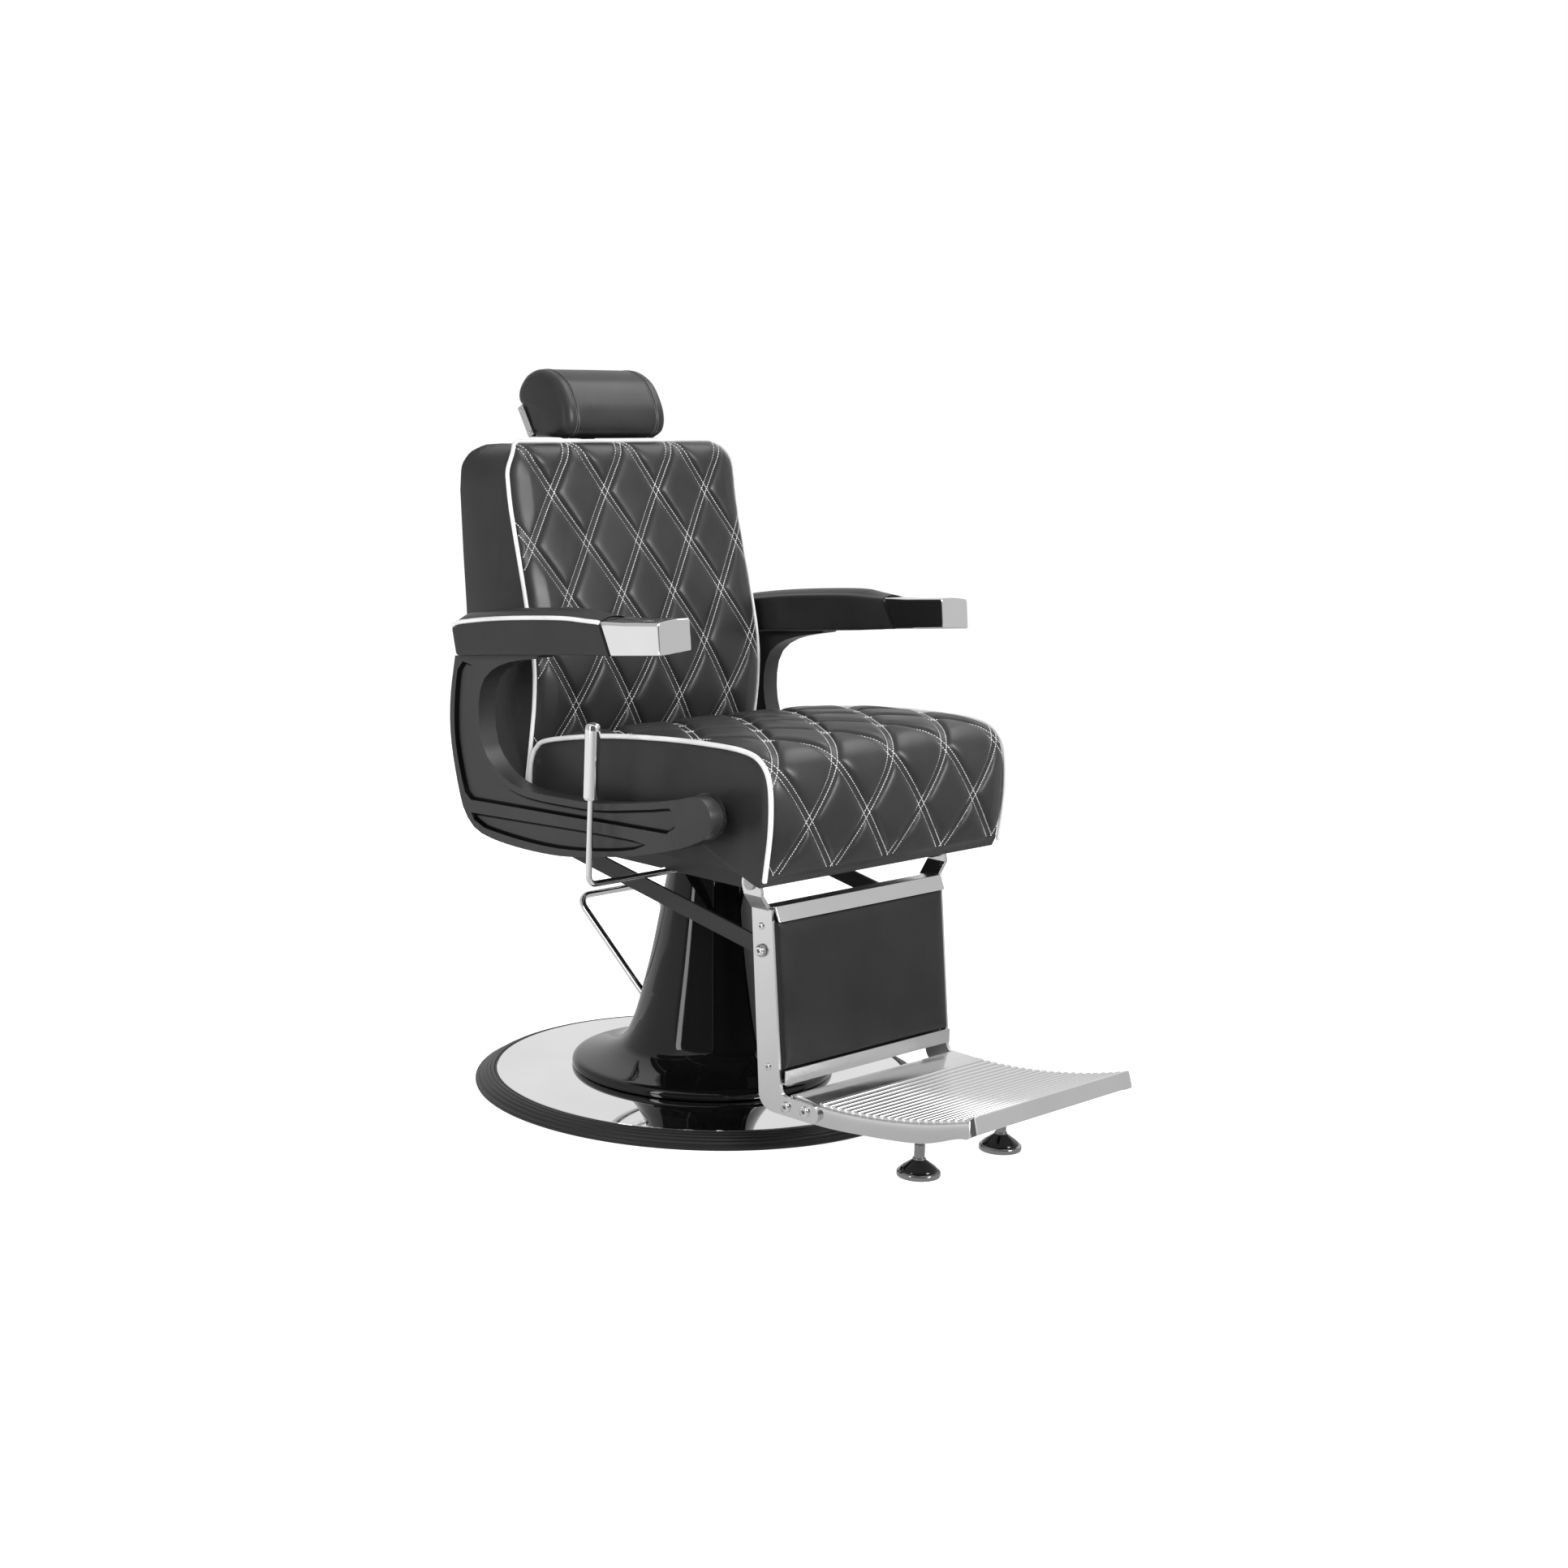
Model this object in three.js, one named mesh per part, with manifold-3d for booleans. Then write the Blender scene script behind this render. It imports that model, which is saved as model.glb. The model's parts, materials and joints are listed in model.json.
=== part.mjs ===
// Hydraulic barber chair. Millimetres, +Z up, the sitter faces -Y, the sitter's right hand is -X.
// The origin is on the floor, on the column's axis.
import * as THREE from "three";
import { mergeVertices } from "three/addons/utils/BufferGeometryUtils.js";
import Module from "manifold-3d";

const wasm = await Module();
wasm.setup();

// ---------------------------------------------------------------- driving dimensions
const gap = 0.3; // between pieces that seat on each other
const pinClearance = 0.3; // radial, between a pin and its hole
const sides = { small: 16, medium: 20, inner: 32, round: 40, base: 44 };

// base
const discThickness = 12;
const discClearance = 3.5; // between the disc's rim and the inside of the cover
const coverRadius = 318; // chrome cover, outer
const coverRimHeight = 21;
const coverCrownHeight = 28; // where the column's skirt sits on it
const coverBore = 182;
const coverThickness = 2.5;
const ringWidth = 32; // rubber ring round the cover
const ringOuterHeight = 7;
const ringGrooves = 4;
const ringGrooveDepth = 1.6;

// column shroud
const skirtRadius = 202;
const shroudWaistRadius = 126; // where the flare meets the cone
const shroudWaistHeight = 66;
const shroudTopRadius = 63;
const shroudTopHeight = 340;
const shroudWall = 4;
const collarHeight = 8;

// hydraulic pump and ram
const ramRadius = 27;
const cylinderRadius = 42;
const liftTravel = 150;
const ramOverlap = 60; // ram left inside the cylinder at full height
const ramFlangeRadius = 40;
const ramFlangeThickness = 6;
const spigotRadius = 20;
const spigotHeight = 20;

// foot pedal, a bent rod on a cross shaft behind the cylinder
const pedalPivotY = 60;
const pedalPivotZ = 108;
const pedalBarY = 204;
const pedalBarZ = 270;
const pedalHalfWidth = 85;
const pedalRootHalfWidth = 46;
const pedalRodRadius = 5.5;
const pedalBendRadius = 16;
const pedalHubRadius = 11;
const pedalHubHalfLength = 54;
const pedalShaftRadius = 6;
const pedalEarThickness = 6;

// seat frame
const hubRadius = 46;
const hubHeight = 30.4;
const mountThickness = 9.7;
const mountHalfWidth = 110;
const mountFrontY = -190;
const mountRearY = 85;
const mountHeight = 387; // underside of the mount plate
const crossBarHeight = 14.4;
const crossBarDepth = 40;
const crossBarFrontY = -160;
const crossBarRearY = -20;
const railHalfGap = 190; // inner face of each side rail
const railThickness = 6;
const railBottom = 380;
const railNoseRadius = 12;
const boardThickness = 6;
const boardHalfWidth = 234;
const boardFrontY = -292;
const boardRearY = 70;

// pivots of the recline linkage
const legPivotY = -280;
const legPivotZ = 392;
const linkFrontY = -291.7;
const linkFrontZ = 294.4;
const linkRearY = 155;
const linkRearZ = 380;
const backPivotY = 164;
const backPivotZ = 452;
const linkWidth = 25;
const linkThickness = 5;
const linkHalfGap = 176; // inner face of each link bar
const linkPinRadius = 5.5;
const openPivotPlay = 1.7; // radial play of the open pivot at the link's rear end
const leverThickness = 6;
const leverHalfGap = 182; // inner face of each back lever and each strut
const backPinRadius = 7;
const legPinRadius = 6;
const crossTubeRadius = 9;
const crossTubeY = 204;
const crossTubeZ = 448;

// legrest
const strutThickness = 6;
const strutWidth = 38;
const strutJog = 17; // the struts' tops stand this much further out
const strutJogBottom = 355;
const strutJogTop = 375;
const strutEndRadius = 17;
const strutLean = 0.119; // forward run for each unit of drop
const strutKneeZ = 103;
const strutFootWidth = 27;
const strutFootEndY = -397;
const strutFootZ = 78.5;
const trimHeight = 21;
const trimThickness = 3;
const trimTopZ = 359.5;
const trimTopY = -308.5;
const trimTopTilt = 9.8; // lower edge further forward
const trimBottomZ = 127.7;
const trimBottomY = -342;
const calfBoardThickness = 9;
const calfPadProud = 9; // in front of the struts
const calfPadBack = 6; // behind the front edge of the struts
const calfPadCrown = 4;

// footplate
const plateRearY = -352;
const plateFrontY = -677;
const plateNoseOut = 8; // the nose's lower edge stands this much further forward
const plateLevel = 96;
const plateFlatEndY = -400; // in front of this line the plate curves up
const plateCurveRadius = 924;
const plateThickness = 4;
const plateHalfWidth = leverHalfGap - gap; // between the struts
const plateRibs = 20;
const plateRibHeight = 4;
const plateSkirtHeight = 26;
const plateCornerRadius = 8; // in plan, between the side skirts and the nose
const footHalfGap = 92;
const footY = -518;
const footRadius = 31;
const footConeHeight = 24;
const footSleeveRadius = 7.5;
const footSleeveTop = 46;
const footStudRadius = 5;
const footStudTop = 82;
const footBossRadius = 11;
const footBossBottom = 76;
const footTravel = 14;

// seat cushion
const seatHalfWidth = 256;
const seatCrown = 8;
const seatRows = 17; // quarter diamonds along the quilted run
const quiltPitch = 120; // width of one diamond
const quiltPuff = 6;
const sideBulge = 4; // the side panels stand out by this much
const sideDraw = 26; // and draw in over this much of their edge

// back cushion
const backHalfWidth = 240;
const backCornerRadius = 46;
const backBottom = 468;
const backTop = 972;
const backCrown = 15;
const backRows = 13;
const backQuiltPitch = 109;
const panelThickness = 5;
const panelHalfWidth = 212;

// headrest
const headHalfWidth = 108;
const headPivotY = 302;
const headPivotZ = 1004;
const headPinRadius = 4;
const headKnuckleRadius = 7.5;
const headTravel = 80;
const postWidth = 30;
const postThickness = 8;
const postKept = 26; // post left inside the socket at full height
const socketWall = 3;
const socketClearance = 0.5;
const socketBottom = 840;
const socketTop = 958;
const bracketThickness = 3;
const bracketFlangeDepth = 9; // of the plate's ends, folded over the headrest's end panels
const bracketLugThickness = 4;
const headFlatLow = { y: 7, z: -25 }; // the flat behind the headrest, its lower edge from the pivot
const headFlatHigh = { y: 35, z: 20 }; // and its upper edge

// arms
const armOuter = 322;
const armInner = 290;
const armRecessDepth = 6;
const armRecessDraft = 3; // the recesses narrow by this much down to their floor
const armKnuckleZ = 497.5;
const armBossRadius = 12;
const armBossY = -270.5;
const padOuter = 334;
const padInner = 272;
const padSlope = 0.1171; // the pads rise towards the front
const padRearY = 215;
const padRearZ = 664.8;
const padCrown = 9;
const padLength = 336; // to the slanted joint with the chrome cap, along the underside
const padJointShear = 0.38;
const padRearShear = 0.15;
const capEnd = 433;
const capHeight = 45.5;
const capCrown = 1.5; // the caps are nearly flat on top
const capWall = 2.5;
const armPlateThickness = 4;
const armPlateHalfWidth = 14;
const armPlateStart = 12;
const armPlateEnd = 296;
const outriggerFrontY = 50;
const outriggerRearY = 110;
const outriggerBottom = 400;
const outriggerThickness = 8;

// hand lever
const leverRodRadius = 4.5;
const leverGripRadius = 11;
const leverX = -344;
const leverY = -97;
const leverZ = 375;
const leverTop = 608;
const leverGripBottom = 497;
const leverBendRadius = 14;
const leverSocketOuterX = -150;
const leverSocketInnerX = -98;
const leverSocketRadius = 9;
const leverEndX = -66;
const leverNotchRadius = 7.5; // clearance for the rod under the side rails
const leverLugThickness = 20;
const leverLugHalf = 13;

// ---------------------------------------------------------------- materials
const finish = (name, color, roughness, metalness) =>
  new THREE.MeshStandardMaterial({ name, color, roughness, metalness });
const chrome = finish("chrome", 0xd8d9db, 0.08, 1);
const aluminium = finish("satin_aluminium", 0xbfc0c2, 0.35, 1);
const blackGloss = finish("black_gloss", 0x0b0b0c, 0.12, 0);
const blackSatin = finish("black_satin", 0x2c2d2e, 0.45, 0.3);
const rubber = finish("black_rubber", 0x1c1c1d, 0.6, 0);
const vinyl = finish("black_vinyl", 0x2a2a2b, 0.42, 0);
const steel = finish("zinc_steel", 0x9a9ca0, 0.4, 0.9);
const iron = finish("cast_iron", 0x3a3a3c, 0.7, 0.5);
const wood = finish("plywood", 0x9c7a4e, 0.8, 0);

// ---------------------------------------------------------------- geometry helpers
// A closed geometry as a solid for joining and cutting.
function solid(geometry) {
  const plain = geometry.clone();
  plain.deleteAttribute("normal");
  plain.deleteAttribute("uv");
  const merged = mergeVertices(plain, 1e-4);
  return new wasm.Manifold(
    new wasm.Mesh({
      numProp: 3,
      vertProperties: merged.attributes.position.array,
      triVerts: new Uint32Array(merged.index.array),
    }),
  );
}

function geometryOf(body) {
  const mesh = body.getMesh();
  const geometry = new THREE.BufferGeometry();
  geometry.setAttribute("position", new THREE.BufferAttribute(mesh.vertProperties, 3));
  geometry.setIndex(new THREE.BufferAttribute(mesh.triVerts, 1));
  return geometry;
}

const join = (...bodies) => bodies.reduce((all, next) => all.add(next));
const cut = (body, ...tools) => tools.reduce((left, tool) => left.subtract(tool), body);

// A shape drawn as (y, z), extruded along X from x0 to x1.
const turnToX = new THREE.Matrix4().makeBasis(
  new THREE.Vector3(0, 1, 0),
  new THREE.Vector3(0, 0, 1),
  new THREE.Vector3(1, 0, 0),
);
function slabX(shape, x0, x1, curveSegments = 12) {
  const geometry = new THREE.ExtrudeGeometry(shape, {
    depth: Math.abs(x1 - x0),
    bevelEnabled: false,
    curveSegments,
  });
  return solid(geometry.applyMatrix4(turnToX).translate(Math.min(x0, x1), 0, 0));
}

// A shape drawn as (x, y), extruded along Z from z0 to z1.
function slabZ(shape, z0, z1, curveSegments = 12) {
  const geometry = new THREE.ExtrudeGeometry(shape, {
    depth: z1 - z0,
    bevelEnabled: false,
    curveSegments,
  });
  return solid(geometry.translate(0, 0, z0));
}

function box(x0, x1, y0, y1, z0, z1) {
  const geometry = new THREE.BoxGeometry(x1 - x0, y1 - y0, z1 - z0);
  return solid(geometry.translate((x0 + x1) / 2, (y0 + y1) / 2, (z0 + z1) / 2));
}

// A cylinder along X, from x0 to x1, about the line y, z.
function rodX(radius, x0, x1, y, z, segments = sides.small) {
  const geometry = new THREE.CylinderGeometry(radius, radius, Math.abs(x1 - x0), segments);
  return solid(geometry.rotateZ(Math.PI / 2).translate((x0 + x1) / 2, y, z));
}

function rodZ(radius, z0, z1, x = 0, y = 0, segments = sides.medium) {
  const geometry = new THREE.CylinderGeometry(radius, radius, z1 - z0, segments);
  return solid(geometry.rotateX(Math.PI / 2).translate(x, y, (z0 + z1) / 2));
}

// A profile of [radius, height] pairs, anticlockwise, turned about Z.
function turned(profile, segments = sides.round) {
  const points = profile.map(([radius, height]) => new THREE.Vector2(radius, height));
  points.push(points[0].clone());
  return solid(new THREE.LatheGeometry(points, segments).rotateX(Math.PI / 2));
}

// A closed polygon from [a, b] pairs.
function polygon(pairs) {
  return new THREE.Shape(pairs.map(([a, b]) => new THREE.Vector2(a, b)));
}

function rectangle(a0, a1, b0, b1) {
  return polygon([
    [a0, b0],
    [a1, b0],
    [a1, b1],
    [a0, b1],
  ]);
}

// The outline of a flat bar with round ends between two points.
function stadium(a, b, radius) {
  const angle = Math.atan2(b.y - a.y, b.x - a.x);
  const shape = new THREE.Shape();
  shape.absarc(b.x, b.y, radius, angle - Math.PI / 2, angle + Math.PI / 2, false);
  shape.absarc(a.x, a.y, radius, angle + Math.PI / 2, angle + 1.5 * Math.PI, false);
  return shape;
}

// A bent round rod through corner points, each corner rounded with the bend radius.
function bentRod(corners, radius, bendRadius, segments = sides.small, steps = 6) {
  const path = new THREE.CurvePath();
  let from = corners[0].clone();
  for (let i = 1; i < corners.length - 1; i++) {
    const before = corners[i - 1].clone().sub(corners[i]).normalize();
    const after = corners[i + 1].clone().sub(corners[i]).normalize();
    const reach = bendRadius / Math.tan(before.angleTo(after) / 2);
    const start = corners[i].clone().addScaledVector(before, reach);
    const end = corners[i].clone().addScaledVector(after, reach);
    path.add(new THREE.LineCurve3(from, start));
    path.add(new THREE.QuadraticBezierCurve3(start, corners[i].clone(), end));
    from = end;
  }
  path.add(new THREE.LineCurve3(from, corners[corners.length - 1].clone()));
  const points = [];
  for (const curve of path.curves) {
    const count = curve.isLineCurve3 ? 1 : steps;
    for (let i = points.length ? 1 : 0; i <= count; i++) points.push(curve.getPoint(i / count));
  }
  return sweep(points, radius, segments);
}

// Rings of a round section along points, closed at both ends.
function sweep(points, radius, segments) {
  const tangentAt = (i) => {
    const next = points[Math.min(i + 1, points.length - 1)];
    const last = points[Math.max(i - 1, 0)];
    return next.clone().sub(last).normalize();
  };
  let side = new THREE.Vector3(0, 0, 1);
  if (Math.abs(tangentAt(0).dot(side)) > 0.9) side = new THREE.Vector3(0, 1, 0);
  const rings = points.map((point, i) => {
    const tangent = tangentAt(i);
    side = side.clone().addScaledVector(tangent, -side.dot(tangent)).normalize();
    const other = new THREE.Vector3().crossVectors(tangent, side);
    return Array.from({ length: segments }, (_, k) => {
      const angle = (2 * Math.PI * k) / segments;
      return point
        .clone()
        .addScaledVector(side, radius * Math.cos(angle))
        .addScaledVector(other, radius * Math.sin(angle));
    });
  });
  return loft(rings);
}

// Closed rings of equal length joined one to the next, with a cap on the first and the last.
// A ring may be bent like an L, so the caps are cut into triangles as outlines in the given plane.
function loft(rings, capPlane = null, crossed = () => false) {
  const count = rings[0].length;
  const positions = rings.flat().flatMap((p) => [p.x, p.y, p.z]);
  const index = [];
  for (let i = 0; i + 1 < rings.length; i++) {
    for (let k = 0; k < count; k++) {
      const a = i * count + k;
      const b = i * count + ((k + 1) % count);
      if (crossed(i, k)) index.push(a, b, a + count, b, b + count, a + count);
      else index.push(a, b, b + count, a, b + count, a + count);
    }
  }
  const flat = capPlane || ((p, ring) => flatten(p, ring));
  const capOf = (ring) => {
    const outline = ring.map((p) => flat(p, ring));
    return THREE.ShapeUtils.triangulateShape(outline, []);
  };
  const last = (rings.length - 1) * count;
  for (const [a, b, c] of capOf(rings[0])) index.push(...orient(rings[0], a, b, c, false));
  for (const [a, b, c] of capOf(rings[rings.length - 1]))
    index.push(...orient(rings[rings.length - 1], a, b, c, true).map((v) => v + last));
  const geometry = new THREE.BufferGeometry();
  geometry.setAttribute("position", new THREE.Float32BufferAttribute(positions, 3));
  geometry.setIndex(index);
  const made = solid(geometry);
  if (made.volume() > 0) return made;
  for (let i = 0; i < index.length; i += 3) [index[i + 1], index[i + 2]] = [index[i + 2], index[i + 1]];
  geometry.setIndex(index);
  return solid(geometry);
}

// The normal of a ring by Newell's method.
function ringNormal(ring) {
  const normal = new THREE.Vector3();
  ring.forEach((p, i) => {
    const q = ring[(i + 1) % ring.length];
    normal.x += (p.y - q.y) * (p.z + q.z);
    normal.y += (p.z - q.z) * (p.x + q.x);
    normal.z += (p.x - q.x) * (p.y + q.y);
  });
  return normal.normalize();
}

function flatten(point, ring) {
  const normal = ringNormal(ring);
  const helper = Math.abs(normal.z) > 0.9 ? new THREE.Vector3(1, 0, 0) : new THREE.Vector3(0, 0, 1);
  const u = new THREE.Vector3().crossVectors(helper, normal).normalize();
  const v = new THREE.Vector3().crossVectors(normal, u);
  return new THREE.Vector2(point.dot(u), point.dot(v));
}

// One cap triangle, facing against the ring's own turn at the start and with it at the end.
function orient(ring, a, b, c, along) {
  const normal = new THREE.Vector3()
    .subVectors(ring[b], ring[a])
    .cross(new THREE.Vector3().subVectors(ring[c], ring[a]));
  const same = normal.dot(ringNormal(ring)) > 0;
  return same === along ? [a, b, c] : [a, c, b];
}

// Points at equal steps along a smooth curve through [a, b] pairs.
function smoothRun(pairs, count) {
  const curve = new THREE.SplineCurve(pairs.map(([a, b]) => new THREE.Vector2(a, b)));
  curve.arcLengthDivisions = 400;
  return curve.getSpacedPoints(count);
}

// A closed outline drawn in by a distance.
function inset(points, by) {
  const count = points.length;
  const inwards = THREE.ShapeUtils.area(points) > 0 ? by : -by;
  return points.map((p, i) => {
    const along = points[(i + 1) % count].clone().sub(points[(i + count - 1) % count]).normalize();
    return new THREE.Vector2(p.x - inwards * along.y, p.y + inwards * along.x);
  });
}

const mirrored = (body) => body.mirror([1, 0, 0]);

// ---------------------------------------------------------------- the scene graph
const chair = new THREE.Group();
const groups = {};
function add(group, name, body, material) {
  if (!groups[group]) {
    groups[group] = new THREE.Group();
    chair.add(groups[group]);
  }
  const mesh = new THREE.Mesh(geometryOf(body), material);
  mesh.name = name;
  groups[group].add(mesh);
  return body;
}

// Left is the sitter's left, +X; the right one is the left one's mirror image.
function addPair(group, name, leftBody, material) {
  add(group, name + "_left", leftBody, material);
  add(group, name + "_right", mirrored(leftBody), material);
}

// ---------------------------------------------------------------- base
const discRadius = coverRadius - coverThickness - discClearance;
const ringInner = coverRadius + gap;
const ringOuter = ringInner + ringWidth - gap;

function baseDisc() {
  const bossRadius = cylinderRadius + 24;
  const bossTop = discThickness + 14;
  return turned(
    [
      [0, 0],
      [discRadius, 0],
      [discRadius, discThickness],
      [bossRadius + 6, discThickness],
      [bossRadius, bossTop],
      [cylinderRadius + gap, bossTop],
      [cylinderRadius + gap, discThickness],
      [0, discThickness],
    ],
    sides.base,
  );
}

function baseCover() {
  const crown = (radius) => {
    const share = Math.min((coverRadius - radius) / (coverRadius - skirtRadius), 1);
    return coverRimHeight + (coverCrownHeight - coverRimHeight) * Math.sin((share * Math.PI) / 2);
  };
  const radii = [coverRadius, 285, 240, skirtRadius, coverBore];
  const inner = coverRadius - coverThickness;
  const rimFoot = discThickness - 8;
  const top = radii.map((radius) => [radius, crown(radius)]);
  const under = radii.map((radius) => [Math.min(radius, inner), crown(radius) - coverThickness]);
  return turned([...top, ...under.reverse(), [inner, rimFoot], [coverRadius, rimFoot]], sides.base);
}

// Rubber ring whose slope carries round grooves.
function baseRing() {
  const edge = 3;
  const fall = coverRimHeight - ringOuterHeight;
  const inner = ringInner + edge;
  const run = ringOuter - edge - inner;
  const slope = [[inner, coverRimHeight]];
  const onSlope = (share, depth) => {
    slope.push([inner + run * share, coverRimHeight - fall * share ** 1.5 - depth]);
  };
  for (let i = 0; i < ringGrooves; i++) {
    const middle = (i + 0.6) / ringGrooves;
    onSlope(middle - 0.06, 0);
    onSlope(middle, ringGrooveDepth);
    onSlope(middle + 0.06, 0);
  }
  return turned(
    [
      [ringInner, 0],
      [ringOuter - edge, 0],
      [ringOuter, edge],
      [ringOuter - 1, ringOuterHeight],
      ...slope.reverse(),
      [ringInner, coverRimHeight],
    ],
    sides.base,
  );
}

// Outside of the shroud from the skirt's lip to the top, as [radius, height].
function shroudOutside() {
  const lipHeight = coverCrownHeight + gap;
  const flare = smoothRun(
    [
      [skirtRadius - 4, lipHeight + 14],
      [skirtRadius - 32, lipHeight + 21],
      [shroudWaistRadius + 16, shroudWaistHeight - 8],
      [shroudWaistRadius, shroudWaistHeight],
      [shroudWaistRadius - 12, shroudWaistHeight + 22],
    ],
    7,
  ).map((p) => [p.x, p.y]);
  const run = shroudTopHeight - shroudWaistHeight;
  return [
    [skirtRadius - 3, lipHeight],
    [skirtRadius, lipHeight + 5],
    ...flare,
    [shroudWaistRadius - 25, shroudWaistHeight + 0.237 * run],
    [shroudTopRadius + 12, shroudTopHeight - 77],
    [shroudTopRadius, shroudTopHeight],
  ];
}

function shroud() {
  const outside = shroudOutside();
  const inside = [
    [skirtRadius - 3 - shroudWall, coverCrownHeight + gap],
    [skirtRadius - 3 - shroudWall, coverCrownHeight + gap + 11],
    [skirtRadius - 36, coverCrownHeight + gap + 16],
    [shroudWaistRadius + 8, shroudWaistHeight - 9],
    [shroudWaistRadius - 12 - 2 * shroudWall, shroudWaistHeight + 14],
    ...outside.slice(-3).map(([radius, height]) => [radius - shroudWall, height]),
  ];
  const shell = turned([...outside, ...inside.reverse()], sides.round);
  const slotHalf = pedalRodRadius + 4;
  const slotX = pedalRootHalfWidth + 8;
  const slot = (x) =>
    box(x - slotHalf, x + slotHalf, pedalPivotY - 20, skirtRadius, pedalPivotZ, pedalPivotZ + 46);
  return cut(shell, slot(slotX), slot(-slotX));
}

const ramBottom = shroudTopHeight - ramOverlap - liftTravel - 20;
const ramFlangeBottom = shroudTopHeight + collarHeight + 2;
const ramFlangeTop = ramFlangeBottom + ramFlangeThickness;

function pumpCylinder() {
  const bore = ramRadius + pinClearance;
  const top = shroudTopHeight - 2;
  return turned(
    [
      [0, discThickness + gap],
      [cylinderRadius, discThickness + gap],
      [cylinderRadius, top],
      [bore, top],
      [bore, ramBottom - 10],
      [0, ramBottom - 10],
    ],
    sides.inner,
  );
}

function pumpCollar() {
  return turned([
    [ramRadius + 1, shroudTopHeight + gap],
    [shroudTopRadius + 1, shroudTopHeight + gap],
    [shroudTopRadius + 1, shroudTopHeight + collarHeight - 3],
    [shroudTopRadius - 3, shroudTopHeight + collarHeight],
    [ramRadius + 1, shroudTopHeight + collarHeight],
  ]);
}

// The bracket on the disc that carries the pedal's shaft, with the pump's plunger housing.
function pumpBracket() {
  const earInner = pedalHubHalfLength + 2;
  const earOuter = earInner + pedalEarThickness;
  const earHalf = 12;
  const footTop = discThickness + gap + 10;
  const innerY = pedalPivotY - earHalf;
  const bossClear = cylinderRadius + 24 + 8;
  const ear = (sign) => {
    const shape = new THREE.Shape();
    shape.moveTo(innerY, footTop - 4);
    shape.lineTo(pedalPivotY + earHalf, footTop - 4);
    shape.lineTo(pedalPivotY + earHalf, pedalPivotZ);
    shape.absarc(pedalPivotY, pedalPivotZ, earHalf, 0, Math.PI, false);
    return slabX(shape, sign * earInner, sign * earOuter, 6);
  };
  const foot = cut(
    box(-earOuter, earOuter, innerY, bossClear + 30, discThickness + gap, footTop),
    rodZ(bossClear, 0, footTop + 1),
  );
  const plungerY = bossClear + 12;
  const plunger = rodZ(10, footTop - 1, pedalPivotZ - pedalHubRadius - 12, 0, plungerY);
  const hole = rodX(pedalShaftRadius + pinClearance, -earOuter - 1, earOuter + 1, pedalPivotY, pedalPivotZ);
  return cut(join(foot, ear(1), ear(-1), plunger), hole);
}

function footPedal() {
  const start = (sign) => new THREE.Vector3(sign * pedalRootHalfWidth, pedalPivotY, pedalPivotZ);
  const corner = (sign) => new THREE.Vector3(sign * pedalHalfWidth, pedalBarY, pedalBarZ);
  const loop = bentRod([start(-1), corner(-1), corner(1), start(1)], pedalRodRadius, pedalBendRadius, 12);
  const hub = rodX(pedalHubRadius, -pedalHubHalfLength, pedalHubHalfLength, pedalPivotY, pedalPivotZ, 24);
  const bore = rodX(
    pedalShaftRadius + pinClearance,
    -pedalHubHalfLength - 1,
    pedalHubHalfLength + 1,
    pedalPivotY,
    pedalPivotZ,
  );
  return cut(join(loop, hub), bore);
}

function pedalShaft() {
  const half = pedalHubHalfLength + 2 + pedalEarThickness + 3;
  return rodX(pedalShaftRadius, -half, half, pedalPivotY, pedalPivotZ);
}

add("base", "base_disc", baseDisc(), iron);
add("base", "base_cover", baseCover(), chrome);
add("base", "base_ring", baseRing(), rubber);
add("base", "column_shroud", shroud(), blackGloss);
add("base", "pump_cylinder", pumpCylinder(), steel);
add("base", "pump_collar", pumpCollar(), chrome);
add("base", "pump_bracket", pumpBracket(), iron);
add("base", "pedal_shaft", pedalShaft(), steel);
add("pedal", "foot_pedal", footPedal(), chrome);

// ---------------------------------------------------------------- ram and swivel
function pistonRam() {
  return turned(
    [
      [0, ramBottom],
      [ramRadius, ramBottom],
      [ramRadius, ramFlangeBottom],
      [ramFlangeRadius, ramFlangeBottom],
      [ramFlangeRadius, ramFlangeTop],
      [spigotRadius, ramFlangeTop],
      [spigotRadius, ramFlangeTop + spigotHeight],
      [0, ramFlangeTop + spigotHeight],
    ],
    sides.inner,
  );
}

function swivelHub() {
  const bore = spigotRadius + pinClearance;
  const top = mountHeight - gap;
  const bottom = top - hubHeight;
  const boreTop = bottom - gap + spigotHeight + 2;
  return turned(
    [
      [bore, bottom],
      [hubRadius, bottom],
      [hubRadius, top - 6],
      [hubRadius + 10, top],
      [0, top],
      [0, boreTop],
      [bore, boreTop],
    ],
    sides.inner,
  );
}

add("ram", "piston_ram", pistonRam(), chrome);
add("seat", "swivel_hub", swivelHub(), steel);

// ---------------------------------------------------------------- seat frame
const mountTop = mountHeight + mountThickness;
const crossBarBottom = mountTop + gap;
const railTop = crossBarBottom + crossBarHeight;
const railOuter = railHalfGap + railThickness;
const boardBottom = railTop + gap;
const seatUnderside = boardBottom + boardThickness + gap;

function seatMount() {
  const shape = new THREE.Shape();
  const corner = 22;
  shape.moveTo(-mountHalfWidth + corner, mountFrontY);
  shape.lineTo(mountHalfWidth - corner, mountFrontY);
  shape.lineTo(mountHalfWidth, mountFrontY + corner);
  shape.lineTo(mountHalfWidth, crossBarRearY);
  shape.lineTo(hubRadius + 14, mountRearY);
  shape.lineTo(-hubRadius - 14, mountRearY);
  shape.lineTo(-mountHalfWidth, crossBarRearY);
  shape.lineTo(-mountHalfWidth, mountFrontY + corner);
  return slabZ(shape, mountHeight, mountTop);
}

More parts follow.
